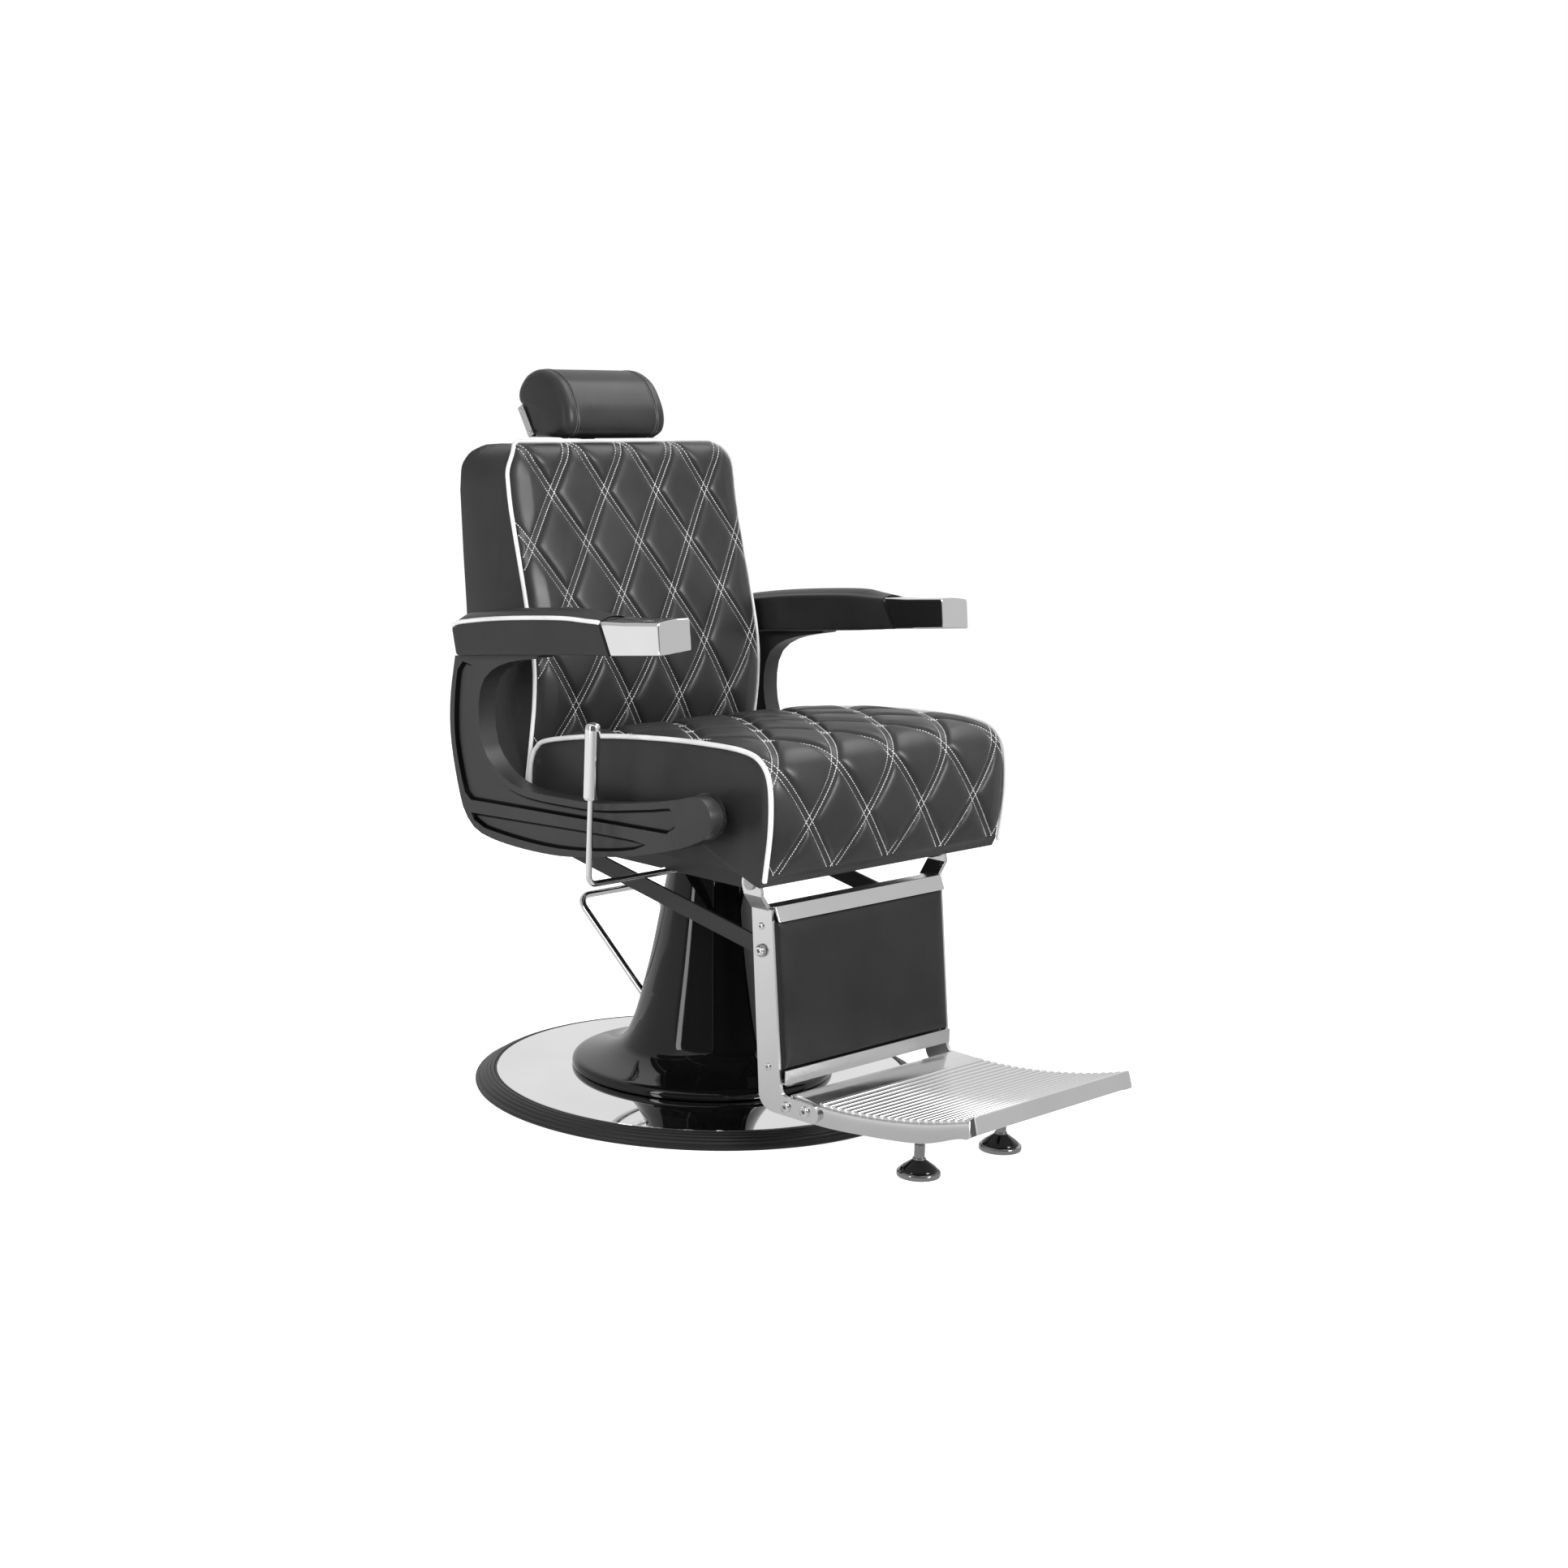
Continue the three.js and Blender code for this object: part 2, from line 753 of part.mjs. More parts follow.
function crossBar(centreY) {
  const half = crossBarDepth / 2;
  const end = railHalfGap - gap;
  const wall = 4;
  const bar = box(-end, end, centreY - half, centreY + half, crossBarBottom, railTop);
  const channelHalf = half - wall;
  const channel = box(
    -end - 1,
    end + 1,
    centreY - channelHalf,
    centreY + channelHalf,
    crossBarBottom - 1,
    railTop - wall,
  );
  return cut(bar, channel);
}

function sideRail() {
  const shape = new THREE.Shape();
  const earRadius = 16;
  shape.absarc(legPivotY, legPivotZ, railNoseRadius, Math.PI / 2, 1.5 * Math.PI, false);
  shape.lineTo(linkRearY + 10, railBottom);
  shape.lineTo(backPivotY + earRadius, backPivotZ);
  shape.absarc(backPivotY, backPivotZ, earRadius, 0, 0.9 * Math.PI, false);
  shape.lineTo(backPivotY - 44, railTop);
  shape.lineTo(legPivotY + 30, railTop);
  const plate = slabX(shape, railHalfGap, railOuter, 10);
  return cut(
    plate,
    rodX(legPinRadius + pinClearance, railHalfGap - 1, railOuter + 1, legPivotY, legPivotZ),
    rodX(backPinRadius + pinClearance, railHalfGap - 1, railOuter + 1, backPivotY, backPivotZ),
    rodX(leverNotchRadius, railHalfGap - 1, railOuter + 1, leverY, leverZ),
  );
}

function seatBoard() {
  const boardTop = boardBottom + boardThickness;
  return box(-boardHalfWidth, boardHalfWidth, boardFrontY, boardRearY, boardBottom, boardTop);
}

function armOutrigger() {
  return box(
    railOuter + gap,
    armInner - gap,
    outriggerFrontY,
    outriggerRearY,
    outriggerBottom,
    outriggerBottom + outriggerThickness,
  );
}

function legPin() {
  const outer = railHalfGap + strutThickness + (leverHalfGap + strutJog + strutThickness - railOuter);
  const shaft = rodX(legPinRadius, railHalfGap - 3, outer + 1, legPivotY, legPivotZ);
  const head = rodX(legPinRadius + 4, outer + gap, outer + 4, legPivotY, legPivotZ);
  return join(shaft, head);
}

function backPin() {
  const shaft = rodX(backPinRadius, leverHalfGap - 3, railOuter + 1, backPivotY, backPivotZ);
  const head = rodX(backPinRadius + 4, railOuter + gap, railOuter + 4, backPivotY, backPivotZ);
  return join(shaft, head);
}

add("seat", "seat_mount", seatMount(), iron);
add("seat", "cross_bar_front", crossBar(crossBarFrontY), blackSatin);
add("seat", "cross_bar_rear", crossBar(crossBarRearY), blackSatin);
addPair("seat", "side_rail", sideRail(), blackSatin);
add("seat", "seat_board", seatBoard(), wood);
addPair("seat", "arm_outrigger", armOutrigger(), blackSatin);
addPair("seat", "leg_pivot_pin", legPin(), steel);
addPair("seat", "back_pivot_pin", backPin(), steel);

// ---------------------------------------------------------------- quilted cushions
// Height of a padded diamond, u and v in quarter diamonds; zero on the stitch lines.
function puff(u, v) {
  const rising = Math.abs(Math.sin((Math.PI * (u + v)) / 4));
  const falling = Math.abs(Math.sin((Math.PI * (u - v)) / 4));
  return Math.sqrt(rising * falling);
}

// A boxed cushion with a quilted face that runs along a curve in the YZ plane. Every ring is the
// side outline at one place across the width. The face stands out by the crown and the padded
// diamonds, and the side panels bulge and draw in.
function quiltedCushion({ face, rest, widthAt, halfWidth, crown, pitch, rowPhase }) {
  const rows = face.length - 1;
  const normals = face.map((p, i) => {
    const next = face[Math.min(i + 1, rows)];
    const last = face[Math.max(i - 1, 0)];
    const along = next.clone().sub(last).normalize();
    return new THREE.Vector2(-along.y, along.x);
  });
  const outline = [...face, ...rest];
  const middle = outline
    .reduce((sum, p) => sum.add(p), new THREE.Vector2())
    .divideScalar(outline.length);
  const quarter = pitch / 4;
  const inner = Math.ceil(halfWidth / quarter) - 1;
  const places = [-halfWidth];
  for (let i = -inner; i <= inner; i++) places.push(i * quarter);
  places.push(halfWidth);
  const rings = places.map((place) => {
    const share = place / halfWidth;
    return outline.map((p, k) => {
      let y = p.x;
      let z = p.y;
      if (k <= rows) {
        const edge = Math.sqrt(Math.max(Math.sin((Math.PI * k) / rows), 0));
        const side = Math.sqrt(1 - share ** 2);
        const soft = quiltPuff * puff(place / quarter, k + rowPhase);
        const lift = (crown * side + soft * Math.min(1, 2 * side)) * edge;
        y += normals[k].x * lift;
        z += normals[k].y * lift;
      }
      return new THREE.Vector3(share * widthAt(p), y, z);
    });
  });
  const panel = (sign) =>
    outline.map((p) => {
      const inwards = middle.clone().sub(p);
      const drawn = p.clone().addScaledVector(inwards.normalize(), sideDraw);
      return new THREE.Vector3(sign * (widthAt(drawn) + sideBulge), drawn.x, drawn.y);
    });
  const all = [panel(-1), ...rings, panel(1)];
  const crossed = (i, k) => {
    const u = Math.round(places[i - 1] / quarter);
    return k < rows && (u + k + rowPhase + 1) % 4 === 0;
  };
  return loft(all, (p) => new THREE.Vector2(p.y, p.z), crossed);
}

const asPoints = (pairs) => pairs.map(([y, z]) => new THREE.Vector2(y, z));

// The quilted run of the seat goes up the front, over the nose and back to the rear edge.
function seatCushion() {
  const face = smoothRun(
    [
      [-351, 414],
      [-358, 488],
      [-354, 546],
      [-338, 573],
      [-308, 583],
      [-250, 584],
      [-150, 579],
      [-26, 566],
      [86, 545],
      [113, 530],
      [122, 509],
    ],
    seatRows,
  );
  const rest = asPoints([
    [124, 480],
    [90, seatUnderside],
    [-298, seatUnderside],
    [-330, 406],
    [-345, 402],
  ]);
  return quiltedCushion({
    face,
    rest,
    widthAt: () => seatHalfWidth,
    halfWidth: seatHalfWidth,
    crown: seatCrown,
    pitch: quiltPitch,
    rowPhase: 0,
  });
}

add("seat", "seat_cushion", seatCushion(), vinyl);

// ---------------------------------------------------------------- back
// Rear line of the back, from the lower edge up.
const backRear = asPoints([
  [276, backBottom],
  [289, 600],
  [300, 723],
  [310, 805],
  [320, 900],
]);

// Half width of the back at a point of its side outline, with the round top corners.
function backWidth(point) {
  const over = point.y - (backTop - backCornerRadius);
  if (over <= 0) return backHalfWidth;
  const rise = Math.min(over / backCornerRadius, 0.98);
  return backHalfWidth - backCornerRadius * (1 - Math.sqrt(1 - rise ** 2));
}

function backLeverShape(margin) {
  const foot = new THREE.Vector2(linkRearY, linkRearZ);
  const pivot = new THREE.Vector2(backPivotY, backPivotZ);
  const top = new THREE.Vector2(186, 545);
  const tube = new THREE.Vector2(crossTubeY, crossTubeZ);
  return [
    stadium(foot, pivot, 13 + margin),
    stadium(pivot, top, 17 + margin),
    stadium(pivot, tube, crossTubeRadius + 4 + margin),
  ];
}

function backLever() {
  const bars = backLeverShape(0).map((shape) =>
    slabX(shape, leverHalfGap, leverHalfGap + leverThickness, 4),
  );
  return cut(
    join(...bars),
    rodX(backPinRadius + pinClearance, leverHalfGap - 1, railHalfGap, backPivotY, backPivotZ),
    rodX(linkPinRadius + pinClearance, leverHalfGap - 1, railHalfGap, linkRearY, linkRearZ),
  );
}

function crossTube() {
  const end = leverHalfGap - gap;
  const tube = rodX(crossTubeRadius, -end, end, crossTubeY, crossTubeZ);
  return cut(tube, rodX(crossTubeRadius - 2.5, -end - 1, end + 1, crossTubeY, crossTubeZ));
}

function linkRearPin() {
  const inner = linkHalfGap - gap;
  const shaft = rodX(linkPinRadius, inner - 1, leverHalfGap + leverThickness + 0.5, linkRearY, linkRearZ);
  return join(shaft, rodX(linkPinRadius + 4, inner - 4, inner, linkRearY, linkRearZ));
}

const socketHalfX = postWidth / 2 + socketClearance + socketWall;
const socketHalfY = postThickness / 2 + socketClearance + socketWall;

function backCushion() {
  const face = smoothRun(
    [
      [157, backBottom],
      [149, 540],
      [144, 603],
      [148, 665],
      [167, 741],
      [185, 805],
      [206, 879],
      [216, 930],
      [222, 958],
      [238, backTop],
    ],
    backRows,
  );
  const rest = [
    ...asPoints([
      [272, backTop - 1],
      [300, 960],
      [315, 938],
    ]),
    ...backRear.slice().reverse(),
  ];
  const body = quiltedCushion({
    face,
    rest,
    widthAt: backWidth,
    halfWidth: backHalfWidth,
    crown: backCrown,
    pitch: backQuiltPitch,
    rowPhase: -1,
  });
  const slots = backLeverShape(gap).map((shape) =>
    slabX(shape, leverHalfGap - gap, leverHalfGap + leverThickness + gap, 6),
  );
  const socket = box(
    -socketHalfX - gap,
    socketHalfX + gap,
    headPivotY - socketHalfY - gap,
    headPivotY + socketHalfY + gap,
    socketBottom - gap,
    backTop + backCrown,
  );
  return cut(body, ...slots, ...slots.map(mirrored), socket);
}

// A thin panel that follows the rear line.
function backPanel() {
  const low = backRear[0].clone().lerp(backRear[1], 0.06);
  const line = [low, ...backRear.slice(1)];
  const front = line.map((p) => [p.x + gap, p.y]);
  const rear = line.map((p) => [p.x + gap + panelThickness, p.y]).reverse();
  return slabX(polygon([...front, ...rear]), -panelHalfWidth, panelHalfWidth);
}

function headrestSocket() {
  const tube = box(
    -socketHalfX,
    socketHalfX,
    headPivotY - socketHalfY,
    headPivotY + socketHalfY,
    socketBottom,
    socketTop,
  );
  const innerX = socketHalfX - socketWall;
  const innerY = socketHalfY - socketWall;
  const bore = box(
    -innerX,
    innerX,
    headPivotY - innerY,
    headPivotY + innerY,
    socketBottom + socketWall,
    socketTop + 1,
  );
  return cut(tube, bore);
}

addPair("back", "back_lever", backLever(), steel);
add("back", "back_cross_tube", crossTube(), steel);
addPair("back", "link_rear_pin", linkRearPin(), steel);
add("back", "back_cushion", backCushion(), vinyl);
add("back", "back_panel", backPanel(), vinyl);
add("back", "headrest_socket", headrestSocket(), steel);

// ---------------------------------------------------------------- headrest
const postBottom = socketTop - headTravel - postKept;

function headrestPost() {
  const half = postThickness / 2;
  const bar = box(
    -postWidth / 2,
    postWidth / 2,
    headPivotY - half,
    headPivotY + half,
    postBottom,
    headPivotZ,
  );
  const knuckle = rodX(headKnuckleRadius, -postWidth / 2, postWidth / 2, headPivotY, headPivotZ);
  const bore = rodX(headPinRadius + pinClearance, -postWidth, postWidth, headPivotY, headPivotZ);
  return cut(join(bar, knuckle), bore);
}

const cutLow = new THREE.Vector2(headPivotY + headFlatLow.y, headPivotZ + headFlatLow.z);
const cutHigh = new THREE.Vector2(headPivotY + headFlatHigh.y, headPivotZ + headFlatHigh.z);
const cutAlong = cutHigh.clone().sub(cutLow).normalize();
const cutOut = new THREE.Vector2(cutAlong.y, -cutAlong.x); // behind the flat
const offCut = (along, out) => {
  const start = along < 0 ? cutHigh : cutLow;
  return start.clone().addScaledVector(cutAlong, along).addScaledVector(cutOut, out);
};
const lugInner = postWidth / 2 + 2;
const lugOuter = lugInner + bracketLugThickness;

// Plate on the flat behind the headrest, its ends folded over the end panels, with two lugs that
// hold the tilt pin.
function headrestBracket() {
  const near = gap;
  const far = gap + bracketThickness;
  const flangeInner = headHalfWidth + gap;
  const flangeOuter = flangeInner + bracketThickness;
  const strip = (from) =>
    new THREE.Shape([offCut(1, from), offCut(1, far), offCut(-1, far), offCut(-1, from)]);
  const plate = slabX(strip(near), -flangeOuter, flangeOuter);
  const flange = slabX(strip(-bracketFlangeDepth), flangeInner, flangeOuter);
  const pivot = new THREE.Vector2(headPivotY, headPivotZ);
  const foot = offCut(24, far - 1);
  const lugShape = stadium(pivot, foot, 6.5);
  const lug = slabX(lugShape, lugInner, lugOuter, 6);
  const notch = box(-lugInner, lugInner, 200, 400, 900, headPivotZ - 8);
  const past = slabX(
    new THREE.Shape([offCut(-60, far), offCut(-60, far + 20), offCut(40, far + 20), offCut(60, far)]),
    -lugOuter - 1,
    lugOuter + 1,
  );
  const pin = rodX(headPinRadius, -lugOuter - 2, lugOuter + 2, headPivotY, headPivotZ);
  const lugs = cut(join(plate, lug, mirrored(lug)), notch, past);
  return join(lugs, pin, flange, mirrored(flange));
}

function headrestCushion() {
  const around = smoothRun(
    [
      [-85, -43],
      [-101, -32],
      [-105, -13],
      [-97, 12],
      [-75, 42],
      [-40, 57],
      [-10, 50],
      [8, 30],
      [10, 12],
      [0, 0],
    ],
    20,
  ).map((p) => p.add(cutHigh));
  const outline = [...around, cutLow.clone()];
  const centre = new THREE.Vector2(-45, 2).add(cutHigh);
  const stations = [
    [-1, 0.66],
    [-0.97, 0.84],
    [-0.88, 0.96],
    [-0.6, 1],
    [0, 1.015],
    [0.6, 1],
    [0.88, 0.96],
    [0.97, 0.84],
    [1, 0.66],
  ];
  const rings = stations.map(([place, scale]) =>
    outline.map((p, i) => {
      const onFlat = i >= outline.length - 2;
      const q = centre.clone().lerp(p, scale);
      if (onFlat && scale > 1) q.copy(p);
      return new THREE.Vector3(place * headHalfWidth, q.x, q.y);
    }),
  );
  const body = loft(rings, (p) => new THREE.Vector2(p.y, p.z));
  const behind = slabX(
    new THREE.Shape([offCut(-80, 0), offCut(-80, 60), offCut(80, 60), offCut(80, 0)]),
    -headHalfWidth - 1,
    headHalfWidth + 1,
  );
  const pocket = box(
    -lugOuter - 3,
    lugOuter + 3,
    headPivotY - postThickness / 2 - 10,
    400,
    900,
    headPivotZ + headKnuckleRadius + 4,
  );
  return cut(body, behind, pocket);
}

add("post", "headrest_post", headrestPost(), chrome);
add("headrest", "headrest_bracket", headrestBracket(), steel);
add("headrest", "headrest_cushion", headrestCushion(), vinyl);

// ---------------------------------------------------------------- legrest
const strutOuter = leverHalfGap + strutThickness;

// Front edge of the struts at a height.
const strutFront = (z) => -306.4 - strutLean * (strutJogBottom - z);

function strutBlade() {
  const shape = new THREE.Shape();
  const endZ = strutFootZ + strutFootWidth / 2;
  const kneeY = strutFront(strutKneeZ);
  shape.moveTo(strutFront(strutJogBottom), strutJogBottom);
  shape.lineTo(kneeY, strutKneeZ);
  shape.quadraticCurveTo(kneeY - 2, endZ, kneeY - 15, endZ);
  shape.lineTo(strutFootEndY, endZ);
  shape.absarc(strutFootEndY, strutFootZ, strutFootWidth / 2, Math.PI / 2, 1.5 * Math.PI, false);
  shape.lineTo(-328, strutFootZ - strutFootWidth / 2);
  shape.quadraticCurveTo(-303, strutFootZ - strutFootWidth / 2, kneeY + strutWidth + 2, 84);
  shape.lineTo(strutFront(strutJogBottom) + strutWidth, strutJogBottom);
  return slabX(shape, leverHalfGap, strutOuter, 6);
}

function strut() {
  const topInner = leverHalfGap + strutJog;
  const topOuter = topInner + strutThickness;
  const front = strutFront(strutJogBottom);
  const jog = new THREE.Shape([
    new THREE.Vector2(leverHalfGap, strutJogBottom - 2),
    new THREE.Vector2(strutOuter, strutJogBottom - 2),
    new THREE.Vector2(topOuter, strutJogTop),
    new THREE.Vector2(topOuter, strutJogTop + 6),
    new THREE.Vector2(topInner, strutJogTop + 6),
    new THREE.Vector2(topInner, strutJogTop + 1),
    new THREE.Vector2(leverHalfGap, strutJogBottom),
  ]);
  const jogDepth = 2 * strutEndRadius;
  const across = new THREE.ExtrudeGeometry(jog, { depth: jogDepth, bevelEnabled: false });
  const bend = solid(across.rotateX(Math.PI / 2).translate(0, front + 5 + jogDepth, 0));
  const start = new THREE.Vector2(front + 5 + strutEndRadius, strutJogTop + 3);
  const top = stadium(start, new THREE.Vector2(legPivotY, legPivotZ), strutEndRadius);
  const lane = cut(
    slabX(top, topInner, topOuter, 8),
    box(topInner - 1, topOuter + 1, -400, -200, 300, strutJogTop + 3),
  );
  return cut(
    join(strutBlade(), bend, lane),
    rodX(legPinRadius + pinClearance, topInner - 1, topOuter + 1, legPivotY, legPivotZ),
    rodX(linkPinRadius + pinClearance, leverHalfGap - 1, strutOuter + 1, linkFrontY, linkFrontZ),
  );
}

function linkFrontPin() {
  const shaft = rodX(linkPinRadius, linkHalfGap - 3, strutOuter + 1, linkFrontY, linkFrontZ);
  return join(shaft, rodX(linkPinRadius + 4, strutOuter + gap, strutOuter + 4, linkFrontY, linkFrontZ));
}

const calfTop = trimTopZ - trimHeight - gap;
const calfBottom = trimBottomZ + gap;
const calfHalfWidth = leverHalfGap - gap;

function calfPad() {
  const columns = [-1, -0.985, -0.9, -0.5, 0, 0.5, 0.9, 0.985, 1];
  const rows = 8;
  const rings = columns.map((share) => {
    const ring = [];
    const fall = Math.sqrt(Math.max(1 - share ** 8, 0));
    for (let i = 0; i <= rows; i++) {
      const z = calfBottom + ((calfTop - calfBottom) * i) / rows;
      const bulge = Math.max(Math.sin((Math.PI * i) / rows), 0) ** 0.35;
      const out = 3 + (calfPadProud - 3) * bulge * fall + calfPadCrown * bulge * (1 - share ** 2);
      ring.push(new THREE.Vector3(share * calfHalfWidth, strutFront(z) - out, z));
    }
    for (const z of [calfTop, calfBottom]) {
      ring.push(new THREE.Vector3(share * calfHalfWidth, strutFront(z) + calfPadBack, z));
    }
    return ring;
  });
  return loft(rings, (p) => new THREE.Vector2(p.y, p.z));
}

function calfBoard() {
  const top = trimTopZ - 6;
  const bottom = trimBottomZ - trimHeight + 4;
  const near = calfPadBack + gap;
  const far = near + calfBoardThickness;
  const shape = polygon([
    [strutFront(top) + near, top],
    [strutFront(bottom) + near, bottom],
    [strutFront(bottom) + far, bottom],
    [strutFront(top) + far, top],
  ]);
  const half = linkHalfGap - 1;
  return slabX(shape, -half, half);
}

function trimTop() {
  const lowY = trimTopY - trimTopTilt;
  const lowZ = trimTopZ - trimHeight;
  const shape = polygon([
    [trimTopY, trimTopZ],
    [lowY, lowZ],
    [lowY + trimThickness, lowZ],
    [trimTopY + trimThickness, trimTopZ - trimThickness],
    [trimTopY + 20, trimTopZ - trimThickness],
    [trimTopY + 20, trimTopZ],
  ]);
  return slabX(shape, -calfHalfWidth, calfHalfWidth);
}

function trimBottom() {
  const low = trimBottomZ - trimHeight;
  const back = trimBottomY + 16;
  const shape = polygon([
    [trimBottomY, trimBottomZ],
    [trimBottomY - 0.7, low],
    [back, low],
    [back, low + trimThickness],
    [trimBottomY + trimThickness, low + trimThickness],
    [trimBottomY + trimThickness, trimBottomZ],
  ]);
  return slabX(shape, -calfHalfWidth, calfHalfWidth);
}

// Height of the footplate's top at a place along it.
function plateTop(y) {
  const run = Math.max(plateFlatEndY - y, 0);
  return plateLevel + plateCurveRadius - Math.sqrt(plateCurveRadius ** 2 - run ** 2);
}

function footplate() {
  const ribsFrom = plateFlatEndY - 2;
  const ribsTo = plateFrontY + 14;
  const pitch = (ribsTo - ribsFrom) / plateRibs;
  const top = [[plateRearY, plateLevel]];
  for (let i = 0; i < plateRibs; i++) {
    for (const [share, height] of [
      [0, 0],
      [0.28, 0.75],
      [0.5, 1],
      [0.72, 0.75],
    ]) {
      const y = ribsFrom + pitch * (i + share);
      top.push([y, plateTop(y) + plateRibHeight * height - plateRibHeight]);
    }
  }
  top.push([ribsTo, plateTop(ribsTo) - plateRibHeight]);
  top.push([plateFrontY, plateTop(plateFrontY)]);
  const under = [];
  for (let i = 0; i <= 10; i++) {
    const y = plateFrontY + 2 + ((plateRearY - plateFrontY - 2) * i) / 10;
    under.push([y, plateTop(y) - plateRibHeight - plateThickness]);
  }
  const deck = slabX(polygon([...top, ...under]), -plateHalfWidth, plateHalfWidth);
  const skirtLine = [
    [plateFrontY - plateNoseOut, plateTop(plateFrontY) - 23],
    [plateFrontY + 17, 106],
    [plateFrontY + 89, 82],
    [plateFrontY + 204, 67.5],
    [plateFlatEndY, 63],
    [plateRearY, 66],
  ];
  const skirtTop = [];
  for (let i = 0; i <= 10; i++) {
    const y = plateRearY + ((plateFrontY - plateRearY) * i) / 10;
    skirtTop.push([y, plateTop(y) - plateRibHeight - 1]);
  }
  const skirt = slabX(
    polygon([...skirtLine, ...skirtTop]),
    plateHalfWidth - plateThickness,
    plateHalfWidth,
  );
  const nose = slabX(
    polygon([
      [plateFrontY, plateTop(plateFrontY)],
      [plateFrontY - plateNoseOut, plateTop(plateFrontY) - 23],
      [plateFrontY - 4, plateTop(plateFrontY) - 24],
      [plateFrontY + plateThickness, plateTop(plateFrontY) - 6],
    ]),
    -plateHalfWidth,
    plateHalfWidth,
  );
  const boss = rodZ(footBossRadius, footBossBottom, plateTop(footY) - 6, footHalfGap, footY, sides.small);
  const holeTop = footStudTop + footTravel + pinClearance;
  const hole = rodZ(footStudRadius + pinClearance, 0, holeTop, footHalfGap, footY, sides.small);
  const rearLip = box(
    -plateHalfWidth,
    plateHalfWidth,
    plateRearY - plateThickness,
    plateRearY,
    plateLevel - plateSkirtHeight,
    plateLevel - 1,
  );
  const whole = join(deck, skirt, mirrored(skirt), nose, boss, mirrored(boss), rearLip);
  const front = plateFrontY - plateNoseOut;
  const plan = new THREE.Shape();
  plan.moveTo(-plateHalfWidth, plateRearY + 1);
  plan.lineTo(-plateHalfWidth, front + plateCornerRadius);
  plan.quadraticCurveTo(-plateHalfWidth, front, plateCornerRadius - plateHalfWidth, front);
  plan.lineTo(plateHalfWidth - plateCornerRadius, front);
  plan.quadraticCurveTo(plateHalfWidth, front, plateHalfWidth, front + plateCornerRadius);
  plan.lineTo(plateHalfWidth, plateRearY + 1);
  return cut(whole, hole, mirrored(hole)).intersect(slabZ(plan, 0, 2 * plateLevel, 6));
}

function foot() {
  const profile = [
    [0, 0],
    [footRadius, 0],
    [footRadius, 8],
    [footRadius - 3, 9],
    [footRadius - 12, footConeHeight - 2],
    [footSleeveRadius, footConeHeight],
    [footSleeveRadius, footSleeveTop],
    [footStudRadius, footSleeveTop],
    [footStudRadius, footStudTop],
    [0, footStudTop],
  ];
  return turned(profile, sides.medium).translate([footHalfGap, footY, 0]);
}

addPair("legrest", "strut", strut(), aluminium);
addPair("legrest", "link_front_pin", linkFrontPin(), steel);
add("legrest", "calf_pad", calfPad(), vinyl);
add("legrest", "calf_board", calfBoard(), wood);
add("legrest", "calf_trim_top", trimTop(), aluminium);
add("legrest", "calf_trim_bottom", trimBottom(), aluminium);
add("legrest", "footplate", footplate(), aluminium);
addPair("feet", "levelling_foot", foot(), rubber);

// ---------------------------------------------------------------- recline links
function link() {
  const front = new THREE.Vector2(linkFrontY, linkFrontZ);
  const rear = new THREE.Vector2(linkRearY, linkRearZ);
  const bar = slabX(stadium(front, rear, linkWidth / 2), linkHalfGap, linkHalfGap + linkThickness, 8);
  const reach = [linkHalfGap - 1, linkHalfGap + linkThickness + 1];
  return cut(
    bar,
    rodX(linkPinRadius + pinClearance, ...reach, linkFrontY, linkFrontZ),
    rodX(linkPinRadius + openPivotPlay, ...reach, linkRearY, linkRearZ),
  );
}

addPair("links", "recline_link", link(), blackSatin);

// ---------------------------------------------------------------- arms
const padUnder = (y) => padRearZ + (padRearY - y) * padSlope;

// The round front end of a casting, closing in to the boss at the seat's side.
function armKnuckle() {
  const bossEnd = seatHalfWidth + sideBulge + gap;
  const stations = [
    [armInner + 6, -279, 32],
    [armInner, -278.5, 31],
    [armInner - 4.5, -277, 28],
    [armInner - 8, -275, 24],
    [armInner - 11, -273, 18],
    [armInner - 13, armBossY, armBossRadius],
    [bossEnd, armBossY, armBossRadius],
  ];
  const rings = stations.map(([x, y, radius]) => {
    const turns = Array.from({ length: 24 }, (_, i) => (i * Math.PI) / 12);
    return turns.map(
      (turn) => new THREE.Vector3(x, y + radius * Math.cos(turn), armKnuckleZ + radius * Math.sin(turn)),
    );
  });
  return loft(rings, (p) => new THREE.Vector2(p.y, p.z));
}

